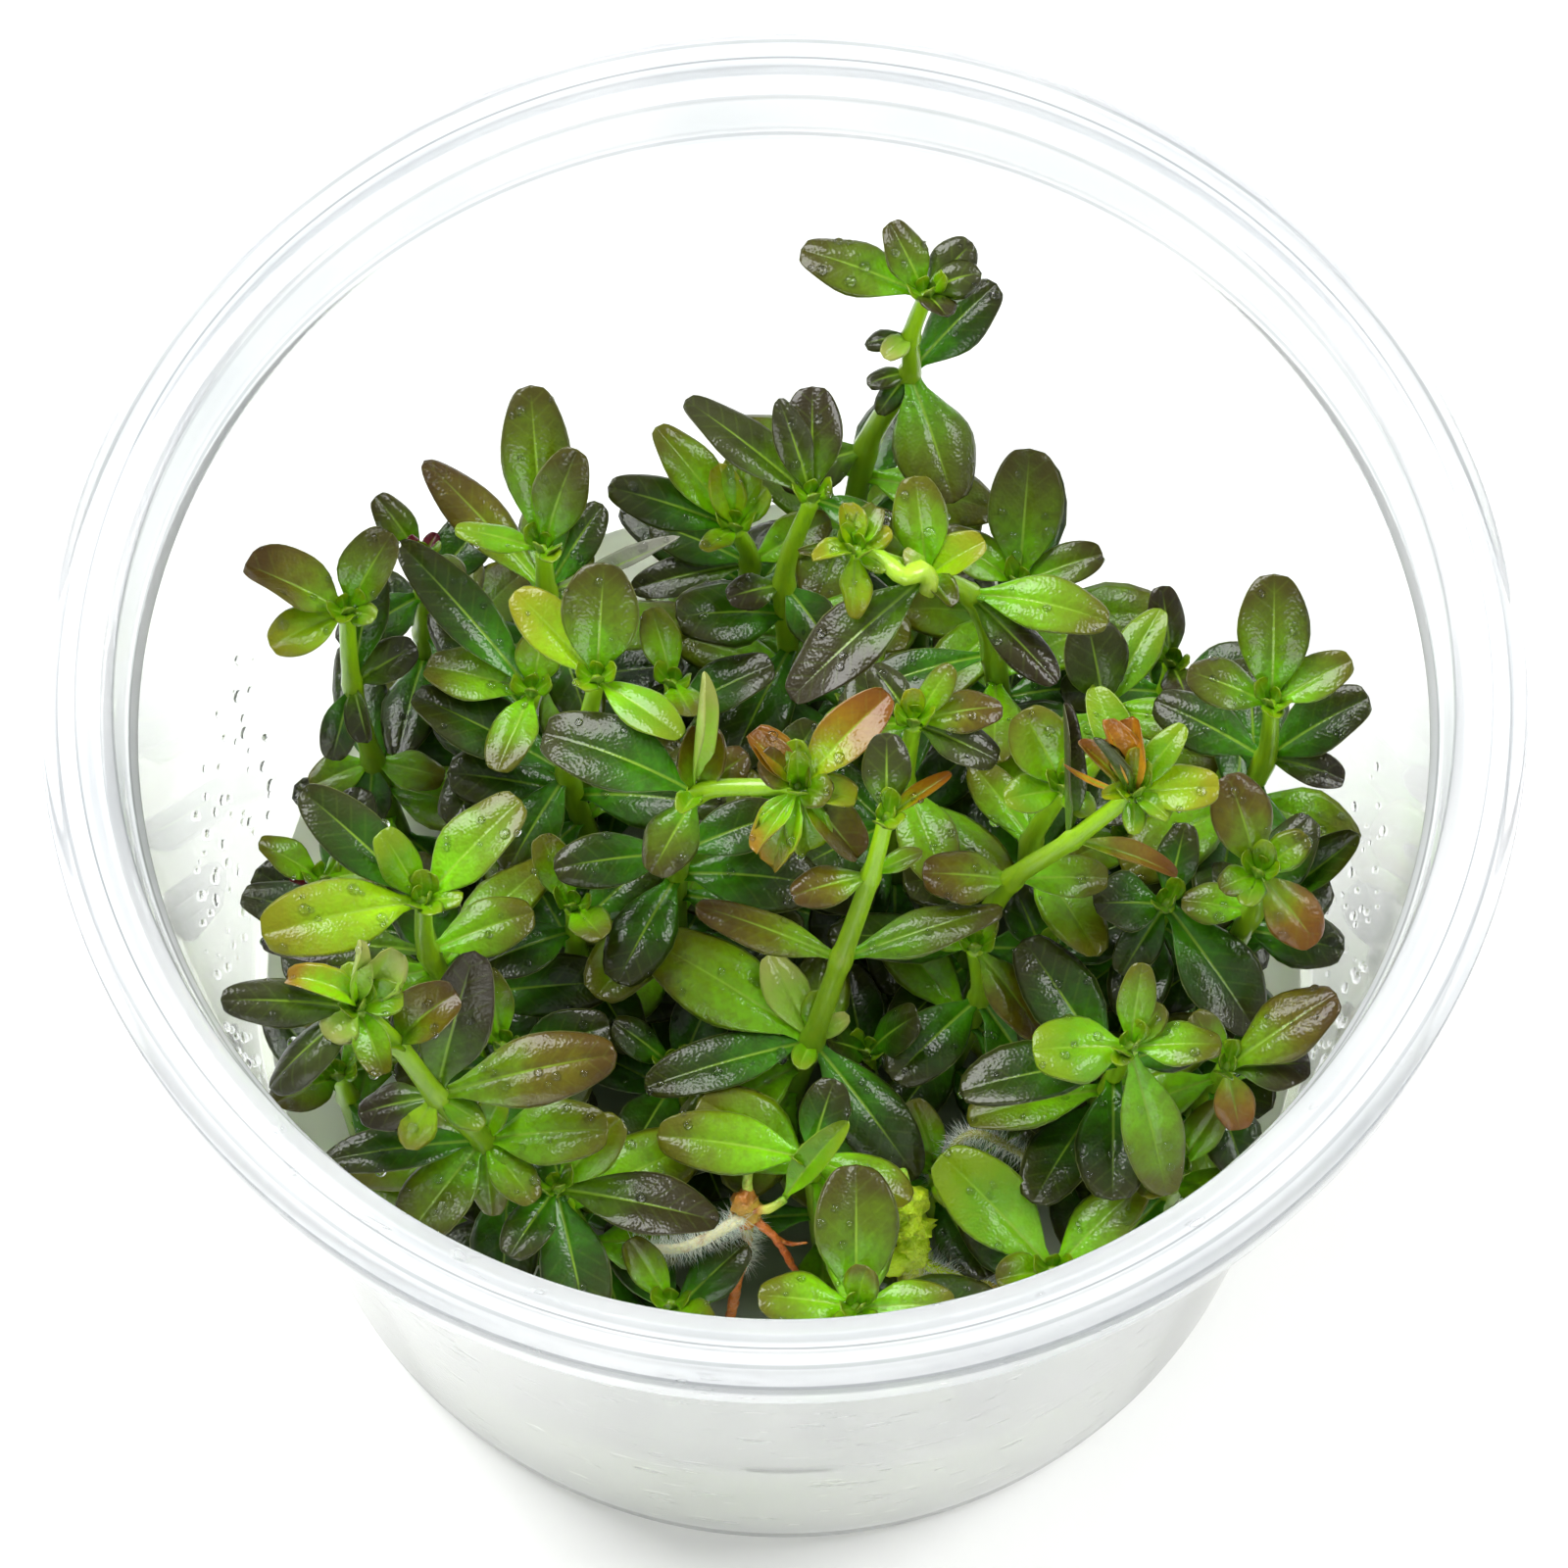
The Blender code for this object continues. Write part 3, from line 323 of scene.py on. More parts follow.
# Small leaves that only the looks have, by shoot: a row as above, but with its tint's letter first, and with
# its cup and its twist last where it has them.
EXTRAS = {
    "amber": (("n", 3, 150, 44, 4.0, 3.2, 30), ("r", 3, 138, 26, 5.4, 3.0, 75, 0, 0.9, 0.2),
              ("b", 3, 96, 52, 3.8, 1.9), ("g", 3, 60, 70, 2.8, 2.2, 30, 0, 0.6),
              ("g", 3, 330, 20, 2.8, 2.6, 50), ("y", 3, 348, -4, 4.2, 2.6, 40, 0, 0.6),
              ("a", 3, 248, -36, 6.2, 3.4, 45, -15, 0.7, 0.7),
              ("b", 3, 282, -36, 4.8, 3.4, 60, 20, 0.7, -0.4), ("n", 2, 84, 36, 5.0, 4.2, 60, 0, 1.2),
              ("n", 2, 36, 12, 4.6, 3.0, 40), ("b", 2, 245, 35, 3.2, 1.9, 40, 0, 0.8)),
    "curly": (("s", 4, 52, 40, 5.2, 3.6, -30, 20, 0.7, 0.9), ("a", 4, 165, 22, 7.2, 2.4, 150, 0, 0.8, 0.3),
              ("s", 4, 228, 0, 3.4, 3.4, 75, 0, -0.8), ("b", 4, 10, 10, 3.4, 2.8, 60, 0, 0.7, 0.5),
              ("g", 3, 150, 20, 4.0, 2.2, 50), ("b", 3, 255, 62, 2.8, 2.0),
              ("y", 2, 235, -30, 4.6, 3.0, 60, 0, -0.8), ("b", 2, 330, -10, 4.0, 2.4),
              ("b", 1, 60, 40, 3.8, 2.4, 50, 0, 0.8), ("b", 1, 330, 5, 3.4, 2.2)),
    "pink": (("x", 4, 122, 46, 6.2, 3.0, 35, 20, 1.4, 0.3), ("x", 4, 92, 44, 5.8, 3.4, 45, -15, 1.4, -0.3),
             ("x", 4, 160, 12, 5.6, 0.5, -70),
             ("k", 4, 150, 58, 6.6, 1.8, 30, 40, 1.6, 0.3), ("i", 4, 125, 22, 4.4, 1.8, 40, 0, 1.4, 0.2),
             ("b", 4, 320, 5, 3.4, 1.7, 70), ("b", 4, 60, 55, 3.0, 1.6),
             ("y", 4, 200, 30, 3.0, 1.5, 60, 0, 1.2)),
    "curl": (("y", 4, 205, 20, 3.8, 2.0, 70, 0, 1.1, 0.6), ("g", 4, 62, 22, 3.6, 2.2, 60, 0, 0.9, 0.5),
             ("s", 3, 150, 48, 3.0, 1.9, 60), ("o", 3, 300, 18, 3.8, 2.4, 50, 0, 1.2),
             ("b", 4, 320, 10, 3.0, 1.6, 60), ("y", 3, 60, 10, 3.4, 2.0, 50)),
    "tall": (("k", 4, 15, 18, 4.6, 3.2, 75, 25, -0.9), ("p", 4, 300, 26, 3.4, 2.7, 60, -20),
             ("s", 3, 228, 18, 3.2, 1.8, 60), ("k", 2, 200, 5, 3.4, 1.8, 50)),
    "left": (("b", 3, 330, 35, 3.2, 1.9), ("k", 2, 285, -10, 4.6, 2.4, 40, 35, 0.9)),
    "pale_stem": (("b", 1, 80, 45, 4.0, 2.2), ("b", 1, 250, 25, 3.2, 1.8), ("s", 1, 25, 30, 3.4, 1.5)),
    "bright": (("b", 2, 300, 25, 3.6, 2.2), ("b", 2, 80, 55, 2.6, 1.6)),
    "mid": (("y", 2, 95, 60, 3.0, 1.8), ("o", 2, 190, 10, 4.2, 2.6)),
    "back_mid": (("y", 2, 110, 50, 5.4, 2.8, 25, 0, 0.8), ("b", 2, 40, 40, 4.0, 2.2)),
    "right_low": (("b", 2, 70, 60, 3.0, 1.8), ("b", 2, 250, 20, 3.4, 2.0)),
    "left_low": (("b", 2, 350, 30, 3.4, 2.0), ("b", 2, 90, 60, 2.8, 1.7)),
    "front": (("g", 1, 300, 30, 3.0, 1.8), ("g", 1, 240, 30, 3.0, 1.8)),
    "fill_back_left": (("m", 3, 140, 62, 2.6, 1.2), ("m", 3, 60, 20, 2.2, 1.2)),
    "fill_left": (("m", 3, 185, 20, 2.6, 1.2),),
    # A long leaf seen edge-on, whose silver sheen is painted into its pale grey tint.
    "back_left": (("w", 1, 12, 26, 11.0, 1.8, -18, 0, 0.9),),
}
# A broken side stem that curls over near the tip: its points, then its radius at each.
BROKEN_STEMS = {
    "curl": (((5.6, 14.9, 63.2), (7.2, 13.9, 63.2), (8.4, 12.9, 63.2), (9.4, 13.5, 62.8), (10.2, 13.2, 62.0),
              (9.9, 12.5, 61.2)), (0.55, 0.62, 0.66, 0.82, 0.64, 0.52)),
}


# How far some of the table's leaves are cupped and twisted, by shoot and by row.
BENT = {
    "amber": {0: (0.5, 0.1), 1: (0.9, 0.2), 2: (0.8, 0.2), 3: (0.8, 0.7), 4: (0.7, -0.3), 5: (1.1, 0.6),
              7: (-0.7, 0.2)},
    "curly": {0: (-0.9, 0.1), 1: (-1.1, 0.3), 2: (1.2, 1.0), 3: (0.9, 0.2), 5: (1.0, 0.0), 6: (-0.6, 0.1),
              7: (-0.8, 0.1), 8: (0.5, 0.0)},
    "curl": {0: (-0.9, 0.6), 1: (1.5, -0.9), 2: (1.1, 0.3), 4: (0.5, -0.2)},
    "pale_stem": {0: (1.6, 0.5), 1: (-0.6, 0.1), 3: (-0.6, 0.0), 5: (-0.9, 0.3), 6: (-0.5, -0.2)},
    "pink": {1: (1.2, 0.3), 4: (0.8, 0.0), 6: (1.0, -0.5), 7: (1.2, 0.2)},
    "tall": {0: (-0.5, 0.0), 2: (-0.7, 0.2), 5: (-0.9, 0.0)},
    "left": {0: (0.6, 0.2), 1: (0.5, 0.0), 5: (1.2, 0.4)},
    "right_low": {5: (1.3, 0.2)},
}


TINTED = ("tint_base", "tint_body", "tint_tip")


def added(name: str, data: bpy.types.ID) -> Piece:
    """A new object in the scene.

    Args:
        name: Its name.
        data: Its mesh, light or camera.

    Returns:
        The object.
    """
    made = bpy.data.objects.new(name, data)
    bpy.context.scene.collection.objects.link(made)
    return made


@dataclass
class Pile:
    """Vertices, faces and their values, gathered in millimetres until they become one mesh."""

    points: list[np.ndarray] = field(default_factory=list)
    faces: list[tuple[int, ...]] = field(default_factory=list)
    slots: list[int] = field(default_factory=list)
    values: dict[str, list[np.ndarray]] = field(default_factory=dict)
    count: int = 0

    def add(self, points: np.ndarray, faces: Sequence[Sequence[int]], slot: int = 0,
            **values: np.ndarray) -> None:
        """Add a surface.

        Args:
            points: Its vertices.
            faces: Its faces, as numbers of those vertices.
            slot: The material slot of its faces.
            values: A number or a colour for each vertex, by attribute name.
        """
        self.points.append(points)
        self.faces += [tuple(corner + self.count for corner in face) for face in faces]
        self.slots += [slot] * len(faces)
        for name, rows in values.items():
            self.values.setdefault(name, []).append(rows)
        self.count += len(points)

    def build(self, name: str, finishes: Sequence[Material]) -> Piece:
        """Make one object, in metres, smooth and with its attributes.

        Args:
            name: The object's name.
            finishes: The materials of its slots.

        Returns:
            The object, linked to the scene.
        """
        mesh = bpy.data.meshes.new(name)
        mesh.from_pydata((np.concatenate(self.points) * MM).tolist(), [], self.faces)
        mesh.shade_smooth()
        mesh.polygons.foreach_set("material_index", np.array(self.slots, np.int32))
        for key, parts in self.values.items():
            rows = np.concatenate(parts).astype(np.float32)
            if rows.ndim == 1:
                mesh.attributes.new(key, "FLOAT", "POINT").data.foreach_set("value", rows)
            else:
                rows = np.hstack([rows, np.ones((len(rows), 1), np.float32)])
                mesh.attributes.new(key, "FLOAT_COLOR", "POINT").data.foreach_set("color", rows.ravel())
        for finish in finishes:
            mesh.materials.append(finish)
        return added(name, mesh)


def tinted(colours: Sequence[Colour], amount: int) -> dict[str, np.ndarray]:
    """A piece's colours at its base, on its body and at its tip, as values for its vertices.

    Args:
        colours: The three colours.
        amount: How many vertices it has.

    Returns:
        The values by attribute name.
    """
    return {name: np.tile(colour, (amount, 1)) for name, colour in zip(TINTED, colours, strict=True)}


def ring_faces(rings: int, sides: int, flip: bool = False) -> list[tuple[int, int, int, int]]:
    """The faces between rings of corners that follow one another.

    Args:
        rings: How many rings there are.
        sides: How many corners each has.
        flip: Whether the corners run against the clock, as seen from the last ring.

    Returns:
        The faces.
    """
    faces = []
    for ring in range(rings - 1):
        for side in range(sides):
            other = (side + 1) % sides
            low, high = ring * sides, (ring + 1) * sides
            face = (low + side, low + other, high + other, high + side)
            faces.append(face[::-1] if flip else face)
    return faces


def arc(leaf: Leaf, foot: Vector, share: float) -> tuple[Vector, Vector, Vector]:
    """A blade's middle line at a share of its length.

    Args:
        leaf: The leaf.
        foot: Its node on the stem.
        share: The share of the length.

    Returns:
        The place, the direction across the blade and the direction it faces.
    """
    turn, roll = math.radians(leaf.turn), math.radians(leaf.roll)
    outward = Vector((math.cos(turn), math.sin(turn), 0))
    sweep = math.radians(leaf.droop)
    start = math.radians(leaf.rise) + sweep / 2
    pitch = start - sweep * share
    reach = leaf.length * (math.sin(start) - math.sin(pitch)) / sweep
    climb = leaf.length * (math.cos(pitch) - math.cos(start)) / sweep
    up = UP * math.cos(pitch) - outward * math.sin(pitch)
    across = UP.cross(outward)
    side = across * math.cos(roll) + up * math.sin(roll)
    face = up * math.cos(roll) - across * math.sin(roll)
    return foot + outward * reach + UP * climb, side, face


def given_way(leaf: Leaf) -> Iterator[Leaf]:
    """A leaf's own shape, then the ones that it may give way to, the nearest first.

    Args:
        leaf: The leaf as the table lists it.

    Yields:
        The leaf turned, raised and shortened.
    """
    choices = []
    for length in GIVE_LENGTHS:
        for turn in GIVE_STEPS:
            for rise in GIVE_STEPS:
                for turn_sign, rise_sign in ((1, 1), (-1, 1), (1, -1), (-1, -1)):
                    cost = turn + rise + SHORTENING_COST * (1 - length)
                    choices.append((cost, turn_sign * turn, rise_sign * rise, length))
    choices.sort(key=lambda choice: choice[0])
    for _, turn, rise, length in choices:
        yield replace(leaf, turn=leaf.turn + turn, rise=leaf.rise + rise, length=leaf.length * length,
                      width=leaf.width * length ** 0.5)


@dataclass(frozen=True)
class BladeForm:
    """How a blade is shaped about its middle line.

    Rows are shares of its length and columns are shares of its half width. Thick, groove and groove_width
    are in millimetres, and fold, bulge and wave are shares of its width.
    """

    rows: tuple[float, ...] = (0.03, 0.08, 0.14, 0.21, 0.29, 0.38, 0.47, 0.56, 0.65, 0.73, 0.80, 0.86,
                               0.91, 0.95, 0.98)
    columns: tuple[float, ...] = (-1, -0.9, -0.7, -0.45, -0.2, -0.07, 0, 0.07, 0.2, 0.45, 0.7, 0.9, 1)
    thick: float = 0.42
    broad: float = 1.08
    fold: float = 0.05
    bulge: float = 0.03
    dome: float = 0.30
    sway: float = 0.35
    groove: float = 0.12
    groove_width: float = 0.22
    groove_below: float = 0.8
    wave: float = 0.05
    waves: float = 1.6
    wave_shift: float = 0.35
    petiole: float = 0.20
    petiole_grows: float = 0.03
    petiole_ends: float = 0.3
    twist: float = 0.30
    slender_from: float = 2.2
    slender_span: float = 1.6
    rib_fades: float = 1.15
    tip_thins: float = 1.3

    def outline(self, shares: np.ndarray, slender: float) -> np.ndarray:
        """The blade's half width at shares of its length, as a share of the widest.

        Args:
            shares: Shares of the length.
            slender: 0 for a round leaf and 1 for a narrow, pointed one.

        Returns:
            The half widths.
        """
        # The widest place lies a little past the middle, and the tip is blunter than the base.
        power = 1.12 - (0.78 - 0.18 * slender) * shares
        swell = np.sin(np.pi * shares ** (1.24 - 0.08 * slender)) ** power
        stalk = self.petiole * np.clip(shares / self.petiole_grows, 0, 1)
        return np.maximum(swell, stalk * (shares < self.petiole_ends))

    def half_widths(self, leaf: Leaf) -> np.ndarray:
        """A leaf's half width at each row, as a column."""
        slender = min(max((leaf.length / leaf.width - self.slender_from) / self.slender_span, 0), 1)
        return (leaf.width * self.broad / 2 * self.outline(np.array(self.rows), slender))[:, None]

    def rings(self, leaf: Leaf, foot: Vector, seed: float) -> np.ndarray:
        """The blade's corners, one closed ring for each row: over the top, then back below.

        Args:
            leaf: The leaf.
            foot: Its node on the stem.
            seed: A number from 0 to 1 that sets its own waves.

        Returns:
            The corners by ring and by place in the ring.
        """
        shares, columns = np.array(self.rows)[:, None], np.array(self.columns)[None, :]
        frames = [arc(leaf, foot, share) for share in self.rows]
        place, side, face = (np.array([list(row[part]) for row in frames])[:, None, :] for part in range(3))
        # The seed, spread by two odd factors, gives each blade a twist and a dome of its own.
        own_twist, own_sway = (math.sin(math.tau * seed * factor) for factor in (7, 5))
        twist = (leaf.twist + self.twist * own_twist) * shares[..., None]
        side, face = side * np.cos(twist) + face * np.sin(twist), face * np.cos(twist) - side * np.sin(twist)
        half = self.half_widths(leaf)
        reach = np.abs(columns)
        cup = leaf.cup or self.sway * own_sway - self.dome
        bend = cup * reach * np.clip(shares * 4, 0, 1)
        offset = columns * half * np.sinc(bend / math.pi)
        rib = np.exp(-(offset / self.groove_width) ** 2) * np.clip(self.rib_fades - shares, 0, 1)
        phase = math.tau * (seed + shares * self.waves + self.wave_shift * (columns > 0))
        wave = self.wave * leaf.width * np.sin(phase) * reach ** 3 * np.clip(shares * 3, 0, 1)
        lift = 2 * half * (self.fold * reach + self.bulge * np.sin(np.pi * reach)) + wave
        lift = lift + half * reach * bend / 2 * np.sinc(bend / math.tau) ** 2
        depth = self.thick * np.sqrt(np.clip(1 - reach ** 2, 0, 1)) * np.clip(self.tip_thins - shares, 0, 1)
        top = lift - self.groove * rib
        under = lift - depth - self.groove_below * self.groove * rib
        top, under = (place + side * offset[..., None] + face * level[..., None] for level in (top, under))
        return np.concatenate([top, under[:, self.inner()]], axis=1)

    def inner(self) -> slice:
        """The columns between the margins, from the last to the first."""
        return slice(len(self.columns) - 2, 0, -1)

    def grow(self, pile: Pile, leaf: Leaf, foot: Vector, seed: float, slot: int = 0) -> None:
        """Add one blade to a pile, closed at its base and at its tip.

        Args:
            pile: Where it goes.
            leaf: The leaf.
            foot: Its node on the stem.
            seed: A number from 0 to 1 that sets its own waves.
            slot: Its material slot.
        """
        shares, columns = np.array(self.rows), np.array(self.columns)
        rings = self.rings(leaf, foot, seed)
        sides = rings.shape[1]
        tip = np.array(list(arc(leaf, foot, 1.0)[0]))[None, :]
        points = np.concatenate([rings.reshape(-1, 3), tip])
        amount = len(points)
        last = (len(shares) - 1) * sides
        faces = ring_faces(len(shares), sides, flip=True)
        faces += [(last + corner, amount - 1, last + (corner + 1) % sides) for corner in range(sides)]
        faces.append(tuple(range(sides)))
        flat = np.concatenate([columns, columns[self.inner()]])
        below = np.concatenate([np.zeros(len(columns)), np.ones(sides - len(columns))])

        def spread(rows: np.ndarray, end: float) -> np.ndarray:
            """A value for every vertex of the rings, then the tip's."""
            return np.append(np.broadcast_to(rows, rings.shape[:2]).ravel(), end)

        pile.add(points, faces, slot,
                 along=spread(shares[:, None], 1.0), across=spread(flat[None, :], 0.0),
                 offset=spread(flat[None, :] * self.half_widths(leaf), 0.0),
                 run=spread(shares[:, None] * leaf.length, leaf.length),
                 below=spread(below[None, :], 0.0), seed=np.full(amount, seed),
                 **tinted(leaf.tint.colours, amount))


SMALL_FORM = BladeForm(rows=(0.05, 0.16, 0.3, 0.46, 0.62, 0.76, 0.87, 0.95),
                       columns=(-1, -0.75, -0.4, -0.1, 0, 0.1, 0.4, 0.75, 1),
                       thick=0.34, groove=0.08, petiole=0.3)
LOW_FORM = BladeForm(rows=(0.04, 0.13, 0.25, 0.4, 0.55, 0.7, 0.82, 0.91, 0.97),
                     columns=(-1, -0.8, -0.4, -0.08, 0, 0.08, 0.4, 0.8, 1))
LARGE_FORM = BladeForm()
SMALL_LEAF = 4.5


def spline(points: Sequence[Vector], spacing: float) -> list[tuple[Vector, float]]:
    """A smooth line through points.

    Args:
        points: What it runs through.
        spacing: About how far apart its samples are.

    Returns:
        Each sample with where it is, counted in points from the first.
    """
    padded = [points[0] * 2 - points[1], *points, points[-1] * 2 - points[-2]]
    samples = []
    for index in range(len(points) - 1):
        before, start, end, after = padded[index:index + 4]
        length = (end - start).length
        leave = (end - before).normalized() * length
        arrive = (after - start).normalized() * length
        steps = max(2, round(length / spacing))
        for step in range(steps):
            t = step / steps
            place = (start * (2 * t ** 3 - 3 * t ** 2 + 1) + leave * (t ** 3 - 2 * t ** 2 + t)
                     + end * (3 * t ** 2 - 2 * t ** 3) + arrive * (t ** 3 - t ** 2))
            samples.append((place, index + t))
    samples.append((points[-1].copy(), float(len(points) - 1)))
    return samples


@dataclass(frozen=True)
class TubeForm:
    """How a stem or a root is turned about its line."""

    sides: int = 12
    spacing: float = 0.55
    lumps: float = 1.6

    def grow(self, pile: Pile, points: Sequence[Vector], radius: "Radius", seed: float,
             colours: Sequence[Colour], slot: int = 0, cap: float = 0.6, lump: float = 0.0) -> None:
        """Add a tube along a smooth line through points, closed at both ends.

        Args:
            pile: Where it goes.
            points: What it runs through.
            radius: Its radius, asked for by how far along the points it is.
            seed: A number from 0 to 1, kept on its vertices.
            colours: Its colours at the foot, midway and at the tip.
            slot: Its material slot.
            cap: How far its rounded end reaches past the last point.
            lump: How much its skin bulges, as a share of its radius.
        """
        samples = spline(points, self.spacing)
        places = [place for place, _ in samples]
        ahead = Vector((1, 0, 0))
        rings, alongs, runs = [], [], []
        run = 0.0
        for index, (place, where) in enumerate(samples):
            before, after = places[max(index - 1, 0)], places[min(index + 1, len(places) - 1)]
            heading = (after - before).normalized()
            ahead = (ahead - heading * ahead.dot(heading)).normalized()
            across = heading.cross(ahead)
            run += (place - before).length
            size = radius.at(where)
            for side in range(self.sides):
                angle = math.tau * side / self.sides
                out = ahead * math.cos(angle) + across * math.sin(angle)
                bulge = 1 + lump * noise.noise((place + out * size) * self.lumps)
                rings.append(place + out * size * bulge)
            alongs += [where / (len(points) - 1)] * self.sides
            runs += [run] * self.sides
        count = len(samples)
        tip = places[-1] + heading * cap
        corners = np.array([list(corner) for corner in (*rings, tip)])
        faces = ring_faces(count, self.sides)
        last = (count - 1) * self.sides
        end = len(corners) - 1
        faces += [(last + side, last + (side + 1) % self.sides, end) for side in range(self.sides)]
        faces.append(tuple(reversed(range(self.sides))))
        amount = len(corners)
        angles = np.append(np.tile(np.linspace(-1, 1, self.sides, endpoint=False), count), 0)
        pile.add(corners, faces, slot,
                 along=np.array(alongs + [1.0]), across=angles, offset=np.ones(amount),
                 run=np.array(runs + [run + cap]), below=np.zeros(amount), seed=np.full(amount, seed),
                 **tinted(colours, amount))


@dataclass(frozen=True)
class Radius:
    """A tube's radius: given at its points, with a swelling at each where it has nodes."""

    sizes: tuple[float, ...]
    swell: float = 0.0
    reach: float = 0.09

    def at(self, where: float) -> float:
        """The radius at a place counted in points from the first."""
        index = min(int(where), len(self.sizes) - 2)
        share = where - index
        size = self.sizes[index] * (1 - share) + self.sizes[index + 1] * share
        near = abs(where - round(where))
        node = self.swell * math.exp(-(near / self.reach) ** 2) if round(where) else 0
        return size * (1 + node)


class NodeTree:
    """Short ways to add nodes to a tree."""

    def __init__(self, tree: bpy.types.NodeTree) -> None:
        """Take a tree."""
        self.tree = tree

    def node(self, kind: str, inputs: dict[str | int, object] | None = None,
             **settings: object) -> bpy.types.Node:
        """Add a node.

        Args:
            kind: Its type.
            inputs: What its inputs take, by name or number.
            settings: Its settings.

        Returns:
            The node.
        """
        made = self.tree.nodes.new(kind)
        for key, value in settings.items():
            setattr(made, key, value)
        for key, value in (inputs or {}).items():
            self.put(made.inputs[key], value)
        return made

    def put(self, socket: Socket, value: object) -> None:
        """Give an input a link or a plain value.

        Args:
            socket: The input.
            value: An output to link, or a number or colour.
        """
        if isinstance(value, Socket):
            self.tree.links.new(value, socket)
        elif isinstance(value, tuple) and len(value) == 3 and socket.type == "RGBA":
            socket.default_value = (*value, 1)
        else:
            socket.default_value = value

    def math(self, operation: str, first: object, second: object = 0.0) -> Socket:
        """One arithmetic step."""
        return self.node("ShaderNodeMath", {0: first, 1: second}, operation=operation).outputs[0]

    def times(self, first: object, second: object) -> Socket:
        """Two values multiplied."""
        return self.math("MULTIPLY", first, second)

    def plus(self, first: object, second: object) -> Socket:
        """Two values added."""
        return self.math("ADD", first, second)

    def minus(self, first: object, second: object) -> Socket:
        """One value less another."""
        return self.math("SUBTRACT", first, second)

    def axes(self, vector: Socket) -> tuple[Socket, ...]:
        """A vector's X, Y and Z."""
        return tuple(self.node("ShaderNodeSeparateXYZ", {0: vector}).outputs)


class Graph(NodeTree):
    """Short ways to build a material's nodes."""

    def __init__(self, name: str) -> None:
        """Start a material with only its output."""
        self.material = bpy.data.materials.new(name)
        self.material.use_nodes = True
        super().__init__(self.material.node_tree)
        self.tree.nodes.clear()
        self.output = self.node("ShaderNodeOutputMaterial")

    def attribute(self, name: str, colour: bool = False) -> Socket:
        """The value or the colour of a mesh attribute."""
        made = self.node("ShaderNodeAttribute", attribute_name=name)
        return made.outputs["Color" if colour else "Fac"]

    def place(self) -> Socket:
        """Object coordinates, in metres."""
        return self.node("ShaderNodeTexCoord").outputs["Object"]

    def noise(self, vector: Socket, size: float, detail: float = 2.0, rough: float = 0.5) -> Socket:
        """Noise from 0 to 1.

        Args:
            vector: Where it is read.
            size: About how large its spots are, in millimetres.
            detail: How many finer layers it has.
            rough: How strong those are.

        Returns:
            The noise's value.
        """
        return self.node("ShaderNodeTexNoise", {"Vector": vector, "Scale": 1 / (size * MM), "Detail": detail,
                                                "Roughness": rough}).outputs["Fac"]

    def unsigned(self, value: object) -> Socket:
        """A value without its sign."""
        return self.math("ABSOLUTE", value)

    def step(self, value: object, low: float, high: float, start: float = 0.0, end: float = 1.0) -> Socket:
        """A smooth step: start below low, end above high."""
        ends = {"Value": value, "From Min": low, "From Max": high, "To Min": start, "To Max": end}
        return self.node("ShaderNodeMapRange", ends, interpolation_type="SMOOTHSTEP").outputs["Result"]

    def mix(self, share: object, first: object, second: object) -> Socket:
        """One colour mixed with another."""
        return self.node("ShaderNodeMix", {0: share, 6: first, 7: second}, data_type="RGBA").outputs[2]

    def radius(self, vector: Socket) -> Socket:
        """How far a place is from the Z axis."""
        flat = self.node("ShaderNodeVectorMath", {0: vector, 1: (1, 1, 0)}, operation="MULTIPLY")
        return self.node("ShaderNodeVectorMath", {0: flat.outputs[0]}, operation="LENGTH").outputs["Value"]

    def stretched(self, vector: Socket, scale: Triple, lean: float = 0.0) -> Socket:
        """A place stretched along the axes and leant about Y, for streaks."""
        made = self.node("ShaderNodeMapping", {"Vector": vector, "Scale": scale, "Rotation": (0, lean, 0)})
        return made.outputs["Vector"]

    def tints(self) -> tuple[Socket, ...]:
        """A piece's own three colours, from its base to its tip."""
        return tuple(self.attribute(name, colour=True) for name in TINTED)

    def tinted_along(self, start: float, middle: float, end: float) -> Socket:
        """A tube's three colours, blended along it.

        Args:
            start: Up to which share of its length it has the first colour.
            middle: Where it has the second.
            end: From where on it has the third.

        Returns:
            The colour.
        """
        along = self.attribute("along")
        base, body, tip = self.tints()
        lower = self.mix(self.step(along, start, middle), base, body)
        return self.mix(self.step(along, middle, end), lower, tip)

    def bump(self, height: Socket, distance: float, strength: float = 1.0) -> Socket:
        """A bump of a height map.

        Args:
            height: The map, from 0 to 1.
            distance: How high it stands, in millimetres.
            strength: How much of it shows.

        Returns:
            The bent normal.
        """
        return self.node("ShaderNodeBump", {"Height": height, "Distance": distance * MM,
                                            "Strength": strength}).outputs["Normal"]

    def finish(self, **inputs: object) -> Material:
        """Give the material its Principled shader.

        Args:
            inputs: The shader's inputs, with underscores for the spaces in their names.

        Returns:
            The material.
        """
        spaced = {name.replace("_", " "): value for name, value in inputs.items()}
        shader = self.node("ShaderNodeBsdfPrincipled", spaced)
        self.put(self.output.inputs["Surface"], shader.outputs["BSDF"])
        # Only the floor glows, weakly and evenly, and sampling it as a lamp would take long.
        self.material.cycles.emission_sampling = "NONE"
        return self.material


